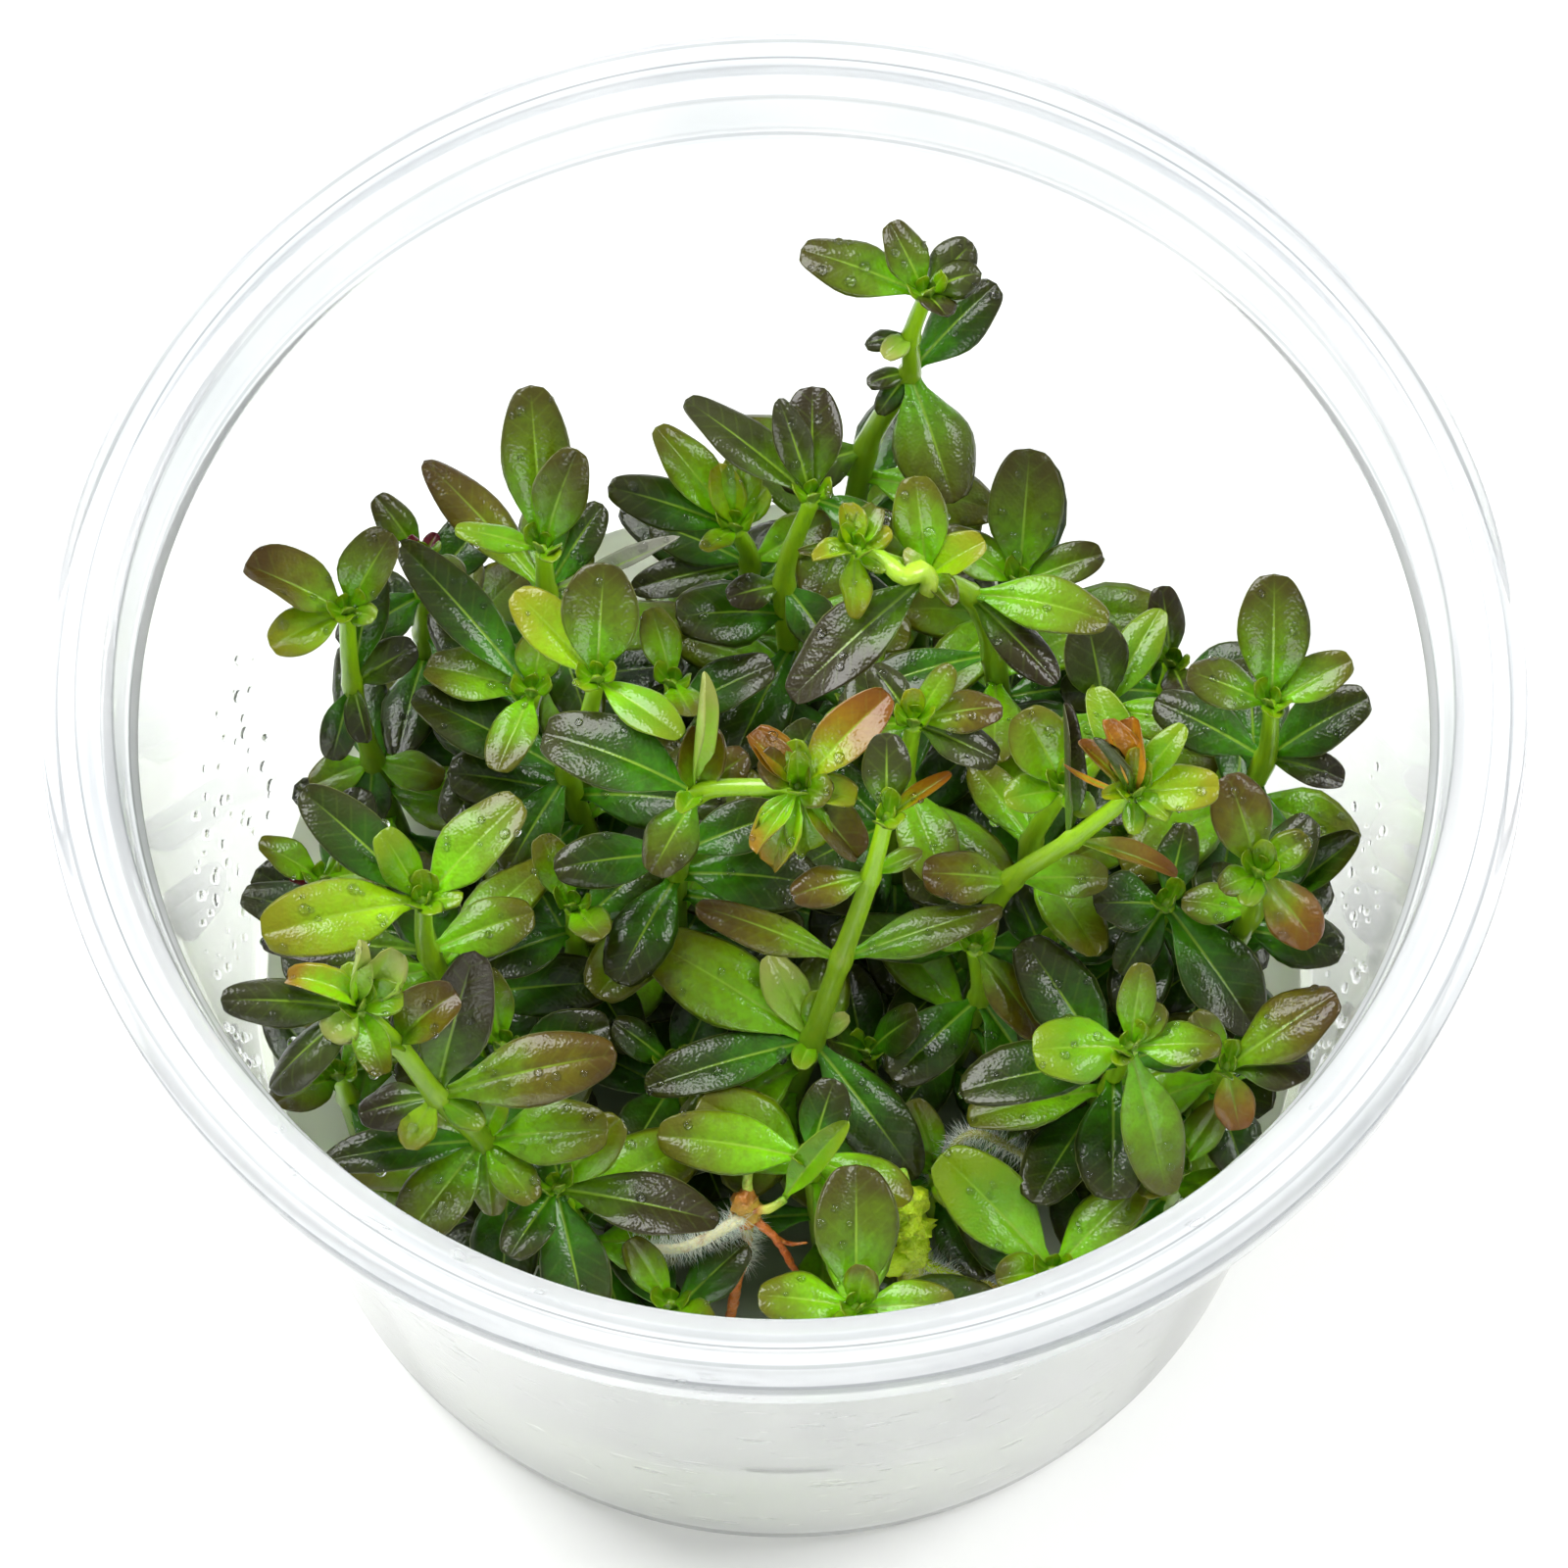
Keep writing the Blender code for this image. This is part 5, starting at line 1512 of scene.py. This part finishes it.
@dataclass(frozen=True)
class Growth:
    """Everything that grows in the cup, one piece for each packed shoot.

    LOW_SHIFTS are the turns and lengths that a low leaf tries until it has room. LOW_RANGES are the ranges
    of its added turn, its rise, its length, its width and its droop.
    """

    LOW_SHIFTS = ((0, 1), (22, 1), (-22, 1), (45, 1), (-45, 1), (0, 0.75), (30, 0.75), (-30, 0.75),
                  (60, 0.75), (-60, 0.75), (0, 0.55), (40, 0.55), (-40, 0.55))
    LOW_RANGES = ((-12, 12), (-12, 22), (8.5, 12), (4.0, 5.4), (20, 40))

    finishes: tuple[Material, ...]
    crowd: Crowd
    stem_form: TubeForm = TubeForm()
    stem_colours: tuple[Colour, ...] = (linear(78, 112, 6), linear(128, 166, 8), linear(148, 198, 10))
    pale_colours: tuple[Colour, ...] = (linear(146, 196, 30), linear(172, 210, 52), linear(156, 180, 50))
    slim: float = 0.88
    swell: float = 0.22
    foot_depth: float = 1.2
    low_spacing: float = 3.6
    low_bare: float = 3.0
    low_green: float = 0.35
    bud_rows: tuple[Triple, ...] = ((2.6, 1.5, 58), (1.9, 1.1, 74))
    bud_droop: float = -30.0
    seed: int = 11

    def build(self) -> list[Piece]:
        """Grow every shoot.

        Returns:
            The pieces.
        """
        rng = np.random.default_rng(self.seed)
        slots = {part["node"]: part["material_slot"] for part in frame["record"]["subparts"]}
        pieces = []
        for owner in SHOOTS:
            node = "shoot_" + owner.name
            pile = Pile()
            self.stem(pile, owner, rng)
            self.leaves(pile, owner, PackedShoot(node), rng)
            self.low_leaves(pile, owner, rng)
            for letter, *row in EXTRAS.get(owner.name, ()):
                leaf = Leaf(*row, tint=TINTS[letter])
                SMALL_FORM.grow(pile, leaf, owner.stem[leaf.node], rng.random())
            self.bud(pile, owner, rng)
            piece = pile.build("rotala_" + owner.name, self.finishes)
            hand_over(piece, slots[node], node)
            pieces.append(piece)
        return pieces

    def stem(self, pile: Pile, owner: Shoot, rng: np.random.Generator) -> None:
        """Add a shoot's stem, thinner towards its tip and swollen at its nodes."""
        last = len(owner.stem) - 1
        sizes = tuple(self.slim * (STEM_FOOT_RADIUS + index / last * (STEM_TIP_RADIUS - STEM_FOOT_RADIUS))
                      for index in range(last + 1))
        points = (owner.stem[0] - UP * self.foot_depth, *owner.stem[1:])
        self.stem_form.grow(pile, points, Radius(sizes, self.swell), rng.random(), self.stem_colours, slot=1)
        if owner.name in BROKEN_STEMS:
            side_points, side_sizes = BROKEN_STEMS[owner.name]
            self.stem_form.grow(pile, [Vector(point) for point in side_points], Radius(side_sizes),
                                rng.random(), self.pale_colours, slot=1, cap=0.05, lump=0.25)

    def leaves(self, pile: Pile, owner: Shoot, packed: PackedShoot, rng: np.random.Generator) -> None:
        """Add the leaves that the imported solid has."""
        bent = BENT.get(owner.name, {})
        for index, leaf in enumerate(owner.leaves):
            grown = packed.settled(leaf, owner.stem[leaf.node])
            if grown is None:
                log.warning("%s has no leaf at node %d, turn %d", owner.name, leaf.node, leaf.turn)
                continue
            cup, twist = bent.get(index, (0.0, 0.0))
            grown = replace(grown, cup=cup, twist=twist)
            form = SMALL_FORM if grown.length < SMALL_LEAF else LARGE_FORM
            form.grow(pile, grown, owner.stem[leaf.node], rng.random())

    def low_leaves(self, pile: Pile, owner: Shoot, rng: np.random.Generator) -> None:
        """Add dark crossed pairs down the stem, where the light hardly reaches."""
        foot, first = owner.stem[0], owner.stem[1]
        height = (first - foot).length
        count = max(int((height - self.low_bare) / self.low_spacing), 0)
        turn = owner.leaves[0].turn + 90
        for pair in range(count):
            share = 1 - (pair + 1) * self.low_spacing / height
            base = foot.lerp(first, share)
            turn += 90
            for side in (0, 180):
                aside, *shape = (rng.uniform(low, high) for low, high in self.LOW_RANGES)
                tint = Tint.GREEN if rng.random() < self.low_green else Tint.DARK
                leaf = Leaf(0, turn + side + aside, *shape, tint=tint)
                for shift, shorter in self.LOW_SHIFTS:
                    choice = replace(leaf, turn=leaf.turn + shift, length=leaf.length * shorter,
                                     width=leaf.width * shorter ** 0.5)
                    if self.crowd.has_room(choice, base):
                        LOW_FORM.grow(pile, choice, base, rng.random())
                        break

    def bud(self, pile: Pile, owner: Shoot, rng: np.random.Generator) -> None:
        """Add the tiny upright leaves that fold over a shoot's growing tip."""
        tip = owner.stem[-1]
        turn = owner.leaves[0].turn + 45
        for step, (length, width, rise) in enumerate(self.bud_rows):
            for side in (0, 180):
                leaf = Leaf(0, turn + 90 * step + side, rise, length, width, self.bud_droop, tint=Tint.BRIGHT)
                SMALL_FORM.grow(pile, leaf, tip, rng.random())


@dataclass(frozen=True)
class RootTube:
    """One tube of a loose root: rows of x, y, height and radius, and its colours."""

    rows: tuple[tuple[float, float, float, float], ...]
    colours: tuple[Colour, Colour, Colour]
    hairy: bool = False
    lump: float = 0.25


PALE = linear(250, 248, 200)
FLESH = linear(214, 222, 90)
RUST = linear(208, 118, 34)
DEEP_RUST = linear(168, 84, 22)
CALLUS = linear(214, 255, 10)
GREEN_STUB = (FLESH, linear(176, 214, 80), linear(150, 200, 60))

CROWN_TUBES = (
    RootTube(((-4.5, -30, 21.5, 0.34), (-3.9, -28.6, 26, 0.38), (-3.4, -27.4, 30, 0.40),
              (-3.0, -26.6, 32, 0.38)), (DEEP_RUST, RUST, RUST), lump=0.4),
    RootTube(((-3.0, -26.6, 32, 0.36), (-2.7, -25.9, 33.6, 0.38), (-2.6, -24.8, 36.2, 0.5)),
             (RUST, RUST, FLESH), hairy=True),
    RootTube(((-2.6, -24.9, 35.8, 0.5), (-2.8, -24.8, 36.6, 0.85), (-2.3, -24.5, 37.4, 0.7),
              (-2.8, -24.0, 38.1, 0.95), (-2.5, -23.5, 38.8, 0.4)),
             (RUST, linear(214, 178, 60), linear(186, 120, 40)), lump=0.9),
    RootTube(((-2.6, -23.9, 38.1, 0.4), (-2.6, -22.9, 39.2, 0.36), (-2.5, -22.2, 40.2, 0.34)), GREEN_STUB),
    RootTube(((-2.9, -24.8, 37.0, 0.5), (-4.5, -25.8, 36.8, 0.42), (-6.9, -26.7, 36, 0.42),
              (-9, -26.6, 35.3, 0.34), (-10.9, -25.9, 35, 0.12)),
             (PALE, PALE, linear(246, 244, 214)), hairy=True, lump=0.1),
    RootTube(((-2.2, -24.8, 37.0, 0.36), (-0.6, -26, 35.6, 0.28), (0.6, -26.9, 32.6, 0.26),
              (1.2, -27, 30.6, 0.14)), (RUST, linear(214, 104, 34), RUST), lump=0.5),
    RootTube(((-0.8, -25.8, 35.8, 0.2), (0.4, -26.2, 35.2, 0.16), (1.6, -26.2, 35.4, 0.08)),
             (RUST, DEEP_RUST, RUST)),
    RootTube(((-2.3, -24.5, 37.6, 0.4), (-1.2, -24.5, 37.7, 0.34), (0.1, -23.9, 38.1, 0.3)),
             (RUST, FLESH, linear(150, 206, 50))),
)
CALLUS_TUBES = (
    RootTube(((9, -28, 21.5, 0.6), (9.2, -26.6, 30, 0.7), (9.4, -26, 31.6, 1.1), (9.2, -25.8, 33, 0.95),
              (9.3, -25, 34.6, 1.2), (9, -24.4, 36, 1.0), (8.8, -23.6, 37.4, 1.05), (8.7, -23.2, 38.2, 0.4)),
             (FLESH, CALLUS, CALLUS), lump=1.1),
    RootTube(((9, -25.9, 32.2, 0.8), (7.9, -26.6, 32.4, 1.0), (7.2, -26.8, 31.9, 0.8)),
             (CALLUS, CALLUS, CALLUS)),
    RootTube(((8.8, -23.6, 37.6, 0.5), (8.5, -22.9, 38.9, 0.42), (8.4, -22.4, 39.8, 0.36)), GREEN_STUB),
    RootTube(((9.6, -26.2, 31.8, 0.5), (11.4, -26.8, 31, 0.38), (13.4, -27, 29.8, 0.32),
              (15.5, -27.2, 28.5, 0.24), (16.8, -27, 27, 0.12)),
             (CALLUS, linear(206, 206, 60), RUST), hairy=True),
)
# A thin hairy root that leaves the stem of the low front shoot.
SIDE_TUBES = (
    RootTube(((11, -20, 30.5, 0.4), (11.6, -19, 33.4, 0.36), (13.6, -18.2, 36, 0.34),
              (16.6, -19.6, 36.3, 0.3), (20.2, -21.3, 35, 0.14)),
             (linear(150, 160, 60), linear(168, 172, 84), linear(190, 190, 120)), hairy=True, lump=0.1),
)
RIBBON_FOOT = Vector((-0.1, -23.95, 38.1))
RIBBON_LEAF = Leaf(0, 36, 50, 9.0, 2.4, 25, cup=0.7, tint=Tint.BRIGHT)


@dataclass(frozen=True)
class LooseRoots:
    """The loose roots at the front: a rusty crown with side roots, and a lump of callus."""

    form: TubeForm = TubeForm(sides=12, spacing=0.25)
    hair_length: float = 1.6
    hair_radius: float = 0.026
    density: float = 42.0
    cap: float = 0.1

    def build(self, hair: Material, leaf: Material) -> list[Piece]:
        """Make the roots with their hairs.

        Args:
            hair: The finish of the root hairs.
            leaf: The finish of the crown's ribbon leaf.

        Returns:
            The pieces.
        """
        rusty = RootFinish("rusty_skin", rust=DEEP_RUST, share=0.5, grain=0.5).make()
        lumpy = RootFinish("callus_skin", rust=linear(238, 255, 60), share=0.5, grain=0.3).make()
        plain = RootFinish("pale_root_skin", rust=linear(140, 140, 50), share=0.3, grain=0.4).make()
        return [self.root("loose_root", CROWN_TUBES, (rusty, hair, leaf), 3, "rusty_root", "root_crown"),
                self.root("callus_root", CALLUS_TUBES, (lumpy, hair), 4, "callus", "root_callus"),
                self.root("side_root", SIDE_TUBES, (plain, hair), 6, "rusty_root")]

    def root(self, name: str, tubes: Sequence[RootTube], finishes: Sequence[Material], seed: int,
             slot: str, *nodes: str) -> Piece:
        """Make one root.

        Args:
            name: The piece's name.
            tubes: Its tubes.
            finishes: The finishes of its skin and its hairs, and of its leaf if it has one.
            seed: What its hairs are scattered with.
            slot: The record's material slot.
            nodes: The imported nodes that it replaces.

        Returns:
            The piece.
        """
        pile, bed = Pile(), Pile()
        for index, tube in enumerate(tubes):
            points = [Vector(row[:3]) for row in tube.rows]
            radius = Radius(tuple(row[3] for row in tube.rows))
            for target in (pile, bed) if tube.hairy else (pile,):
                self.form.grow(target, points, radius, index / len(tubes), tube.colours, cap=self.cap,
                               lump=tube.lump)
        if len(finishes) > 2:
            LARGE_FORM.grow(pile, RIBBON_LEAF, RIBBON_FOOT, seed=0.3, slot=2)
        skin_piece = pile.build(name, finishes)
        hair_bed = bed.build(name + "_hair_bed", finishes[1:2])
        hairs = hair_tree(finishes[1], self.hair_length, self.hair_radius, self.density, seed).apply(hair_bed)
        merge_into(skin_piece, hairs, slot=1)
        hand_over(skin_piece, slot, *nodes)
        return skin_piece


def merge_into(piece: Piece, other: bpy.types.Mesh, slot: int) -> None:
    """Add a mesh to a piece under one of the piece's slots.

    Args:
        piece: The piece, which keeps its attributes.
        other: The mesh, which is used up.
        slot: The material slot that its faces take.
    """
    extra = added("extra", other)
    other.materials.clear()
    for finish in piece.data.materials:
        other.materials.append(finish)
    other.polygons.foreach_set("material_index", np.full(len(other.polygons), slot, np.int32))
    with bpy.context.temp_override(active_object=piece, selected_editable_objects=[piece, extra]):
        bpy.ops.object.join()


class Scatter(NodeTree):
    """A Geometry Nodes tree that scatters one small shape over a bed."""

    def __init__(self, name: str, finish: Material, **inputs: float) -> None:
        """Start the tree with its named inputs.

        Args:
            name: The tree's name.
            finish: The material that its result takes.
            inputs: The tree's inputs by name, each a number in metres or a plain number.
        """
        super().__init__(bpy.data.node_groups.new(name, "GeometryNodeTree"))
        self.finish = finish
        self.inputs = inputs
        face = self.tree.interface
        face.new_socket("Geometry", in_out="INPUT", socket_type="NodeSocketGeometry")
        for key, value in inputs.items():
            kind = "NodeSocketInt" if isinstance(value, int) else "NodeSocketFloat"
            face.new_socket(key, in_out="INPUT", socket_type=kind)
        face.new_socket("Geometry", in_out="OUTPUT", socket_type="NodeSocketGeometry")
        self.entry = self.node("NodeGroupInput").outputs
        self.exit = self.node("NodeGroupOutput").inputs

    def spread(self, shape: Socket, sizes: Triple, flat: float = 1.0,
               chosen: Socket | None = None, lean: Sequence[float] | None = None) -> None:
        """Scatter the shape, make it real and give it its finish.

        Args:
            shape: The small shape's geometry.
            sizes: The smallest and the largest share of its size, and the power that favours small ones.
            flat: Its height as a share of its width.
            chosen: Which faces it may stand on, or None for all.
            lean: How far it may lean and turn in radians, or None to stand straight on the surface.
        """
        points = self.node("GeometryNodeDistributePointsOnFaces",
                           {"Mesh": self.entry["Geometry"], "Density": self.entry["Density"],
                            "Seed": self.entry["Seed"]}, distribute_method="RANDOM")
        if chosen is not None:
            self.put(points.inputs["Selection"], chosen)
        least, most, power = sizes
        size = self.node("FunctionNodeRandomValue", {2: least, 3: most, "Seed": self.entry["Seed"]},
                         data_type="FLOAT")
        width = self.math("POWER", size.outputs[1], power)
        scale = self.node("ShaderNodeCombineXYZ", {"X": width, "Y": width, "Z": self.times(width, flat)})
        rotation = points.outputs["Rotation"]
        if lean is not None:
            own = self.node("FunctionNodeRandomValue", {0: tuple(-reach for reach in lean), 1: tuple(lean)},
                            data_type="FLOAT_VECTOR")
            rotation = self.node("FunctionNodeRotateRotation", {0: rotation, 1: own.outputs[0]},
                                 rotation_space="LOCAL").outputs[0]
        placed = self.node("GeometryNodeInstanceOnPoints",
                           {"Points": points.outputs["Points"], "Instance": shape, "Rotation": rotation,
                            "Scale": scale.outputs[0]})
        real = self.node("GeometryNodeRealizeInstances", {0: placed.outputs["Instances"]})
        smooth = self.node("GeometryNodeSetShadeSmooth", {0: real.outputs[0]})
        dressed = self.node("GeometryNodeSetMaterial",
                            {"Geometry": smooth.outputs[0], "Material": self.finish})
        self.put(self.exit[0], dressed.outputs[0])

    def apply(self, bed: Piece) -> bpy.types.Mesh:
        """Run the tree on a bed, which is used up.

        Args:
            bed: The object whose faces take the shapes.

        Returns:
            The scattered shapes as one mesh.
        """
        modifier = bed.modifiers.new(self.tree.name, "NODES")
        modifier.node_group = self.tree
        for item in self.tree.interface.items_tree:
            if item.in_out == "INPUT" and item.name in self.inputs:
                modifier[item.identifier] = self.inputs[item.name]
        bpy.context.view_layer.update()
        depsgraph = bpy.context.evaluated_depsgraph_get()
        mesh = bpy.data.meshes.new_from_object(bed.evaluated_get(depsgraph), depsgraph=depsgraph)
        bed.modifiers.remove(modifier)
        bpy.data.objects.remove(bed)
        return mesh


# How a hair and a drop vary: the least and the largest share of their size, and the power that favours
# small ones. Then how far a hair leans and turns in radians, and a drop's height as a share of its width.
HAIR_SIZES = (0.45, 1.0, 1.0)
DROP_SIZES = (0.55, 1.0, 2.2)
HAIR_LEAN = (0.5, 0.5, 3.1)
DROP_FLATNESS = 0.7


def hair_tree(finish: Material, length: float, radius: float, density: float, seed: int) -> Scatter:
    """Root hairs: thin cones that lean off the skin.

    Args:
        finish: The hairs' material.
        length: Their length.
        radius: Their radius at the root.
        density: How many stand on a square millimetre.
        seed: The random seed.

    Returns:
        The tree.
    """
    made = Scatter("root_hairs", finish, Density=density / MM ** 2, Length=length * MM, Radius=radius * MM,
                   Seed=seed)
    cone = made.node("GeometryNodeMeshCone",
                     {"Vertices": 3, "Radius Bottom": made.entry["Radius"], "Radius Top": 0.0,
                      "Depth": made.entry["Length"]}, fill_type="NONE")
    made.spread(cone.outputs["Mesh"], HAIR_SIZES, lean=HAIR_LEAN)
    return made


def drop_tree(name: str, finish: Material, radius: float, density: float, seed: int, floor: float) -> Scatter:
    """Water drops: small squashed balls on the faces that look up.

    Args:
        name: The tree's name.
        finish: The water.
        radius: The largest drop's radius.
        density: How many lie on a square millimetre.
        seed: The random seed.
        floor: How far up a face has to look, from -1 to 1.

    Returns:
        The tree.
    """
    made = Scatter(name, finish, Density=density / MM ** 2, Radius=radius * MM, Level=floor, Seed=seed)
    ball = made.node("GeometryNodeMeshIcoSphere", {"Radius": made.entry["Radius"], "Subdivisions": 2})
    upward = made.axes(made.node("GeometryNodeInputNormal").outputs[0])[2]
    above = made.node("FunctionNodeCompare", {0: upward, 1: made.entry["Level"]}, data_type="FLOAT",
                      operation="GREATER_THAN")
    made.spread(ball.outputs["Mesh"], DROP_SIZES, DROP_FLATNESS, above.outputs[0])
    return made


@dataclass(frozen=True)
class Moisture:
    """Water: drops on the leaves and condensation inside the cup.

    Each patch of condensation is its first and last angle in degrees, and its lowest and highest height.
    """

    water: Material
    leaf_drop: float = 0.45
    leaf_density: float = 0.14
    wall_drop: float = 0.5
    wall_density: float = 0.12
    patches: tuple[tuple[float, ...], ...] = ((156, 236, 27, 49), (-50, 6, 28, 53), (235, 312, 46, 67))
    rows: int = 8
    columns: int = 10
    clear: float = 0.02

    def on_leaves(self, pieces: Sequence[Piece]) -> Piece:
        """Scatter drops over the plants.

        Args:
            pieces: The grown shoots.

        Returns:
            The drops.
        """
        pile = Pile()
        for piece in pieces:
            mesh = piece.data
            places = np.zeros(len(mesh.vertices) * 3)
            mesh.vertices.foreach_get("co", places)
            leafy = [tuple(face.vertices) for face in mesh.polygons if face.material_index == 0]
            pile.add(places.reshape(-1, 3) / MM, leafy)
        bed = pile.build("drop_bed", ())
        tree = drop_tree("leaf_drops", self.water, self.leaf_drop, self.leaf_density, seed=5, floor=0.35)
        return self.piece("leaf_drops", tree.apply(bed))

    def on_wall(self) -> Piece:
        """Scatter condensation over patches of the cup's inner wall.

        Returns:
            The condensation.
        """
        pile = Pile()
        rows, columns = self.rows, self.columns
        for start, end, low, high in self.patches:
            angles = np.radians(np.linspace(start, end, columns))
            heights = np.linspace(low, high, rows)
            radii = np.array([inner_wall(height) - self.clear for height in heights])
            faces = [(row * columns + column, (row + 1) * columns + column, (row + 1) * columns + column + 1,
                      row * columns + column + 1) for row in range(rows - 1) for column in range(columns - 1)]
            pile.add(around(radii, heights, angles), faces)
        bed = pile.build("wall_bed", ())
        tree = drop_tree("wall_drops", self.water, self.wall_drop, self.wall_density, seed=8, floor=-1.0)
        return self.piece("wall_drops", tree.apply(bed))

    def piece(self, name: str, mesh: bpy.types.Mesh) -> Piece:
        """Put a mesh of drops into the scene and hand it over."""
        made = added(name, mesh)
        hand_over(made, "water")
        return made


@dataclass(frozen=True)
class Studio:
    """The floor, the light and the camera at the photograph's viewing angle."""

    elevation: float = 65.43
    tilt_down: float = 0.96
    distance: float = 441.4
    aim_height: float = 75.2
    lens: float = 151.2
    sensor: float = 36.0
    near: float = 0.01
    reach: float = 4000.0
    drop: float = 0.05
    cloud_size: float = 300.0
    pale: Colour = linear(253, 254, 254)
    white: Colour = linear(254, 254, 254)
    roughness: float = 0.6
    glow_from: Span = (250.0, 1500.0)
    far_glow: float = 0.6
    sky: float = 0.42
    panels: tuple[tuple[str, Triple, float, float], ...] = (
        ("panel_back_left", (-0.40, 0.38, 0.70), 0.60, 10.5),
        ("panel_right", (0.55, 0.12, 0.60), 0.36, 3.8),
        ("panel_front", (-0.10, -0.75, 0.36), 0.45, 2.8))
    panel_aim: Triple = (0.0, 0.0, 0.04)

    def build(self) -> None:
        """Set the stage."""
        self.floor()
        self.light()
        self.camera()

    def floor(self) -> None:
        """Lay a plain pale floor that is lit from below further off."""
        g = Graph("studio_floor")
        cloud = g.noise(g.place(), self.cloud_size, 1.0)
        glow = g.step(g.radius(g.place()), *metres(self.glow_from), 0, self.far_glow)
        plain = g.finish(Base_Color=g.mix(cloud, self.pale, self.white), Roughness=self.roughness,
                         Emission_Color=(1.0, 1.0, 1.0), Emission_Strength=glow)
        pile = Pile()
        signs = ((-1, -1), (1, -1), (1, 1), (-1, 1))
        corners = [(x * self.reach, y * self.reach, -self.drop) for x, y in signs]
        pile.add(np.array(corners), [(0, 1, 2, 3)])
        pile.build("studio_floor", (plain,))

    def light(self) -> None:
        """Light it from all round, with large soft panels above."""
        world = bpy.data.worlds.new("studio_world")
        world.use_nodes = True
        background = world.node_tree.nodes["Background"]
        background.inputs["Color"].default_value = (1, 1, 1, 1)
        background.inputs["Strength"].default_value = self.sky
        bpy.context.scene.world = world
        for panel in self.panels:
            self.panel(*panel)

    def panel(self, name: str, place: Triple, size: float, power: float) -> None:
        """Hang a square panel that looks at the cup.

        Args:
            name: Its name.
            place: Where it hangs, in metres.
            size: The length of its side, in metres.
            power: Its power in watts.
        """
        data = bpy.data.lights.new(name, "AREA")
        data.size = size
        data.energy = power
        lamp = added(name, data)
        lamp.location = place
        lamp.rotation_euler = (Vector(self.panel_aim) - Vector(place)).to_track_quat("-Z", "Y").to_euler()

    def camera(self) -> None:
        """Place the camera at the photograph's angle."""
        data = bpy.data.cameras.new("camera")
        data.sensor_width = self.sensor
        data.lens = self.lens
        data.clip_start = self.near
        camera = added("camera", data)
        angle = math.radians(self.elevation)
        back = Vector((0, -math.cos(angle), math.sin(angle))) * self.distance
        camera.location = (back + UP * self.aim_height) * MM
        camera.rotation_euler = (math.pi / 2 - angle - math.radians(self.tilt_down), 0, 0)
        bpy.context.scene.camera = camera
        bpy.context.scene.view_settings.view_transform = "Standard"


def main() -> None:
    """Build every piece in order, then the studio."""
    logging.basicConfig(level=logging.INFO, format="%(message)s")
    Cup().build()
    Gel().build()
    leaf = LeafFinish().make()
    pieces = Growth((leaf, StemFinish().make()), Crowd.of_frame()).build()
    LooseRoots().build(HairFinish().make(), leaf)
    moisture = Moisture(WaterFinish().make())
    moisture.on_leaves(pieces)
    moisture.on_wall()
    Studio().build()


if __name__ == "__main__":
    main()
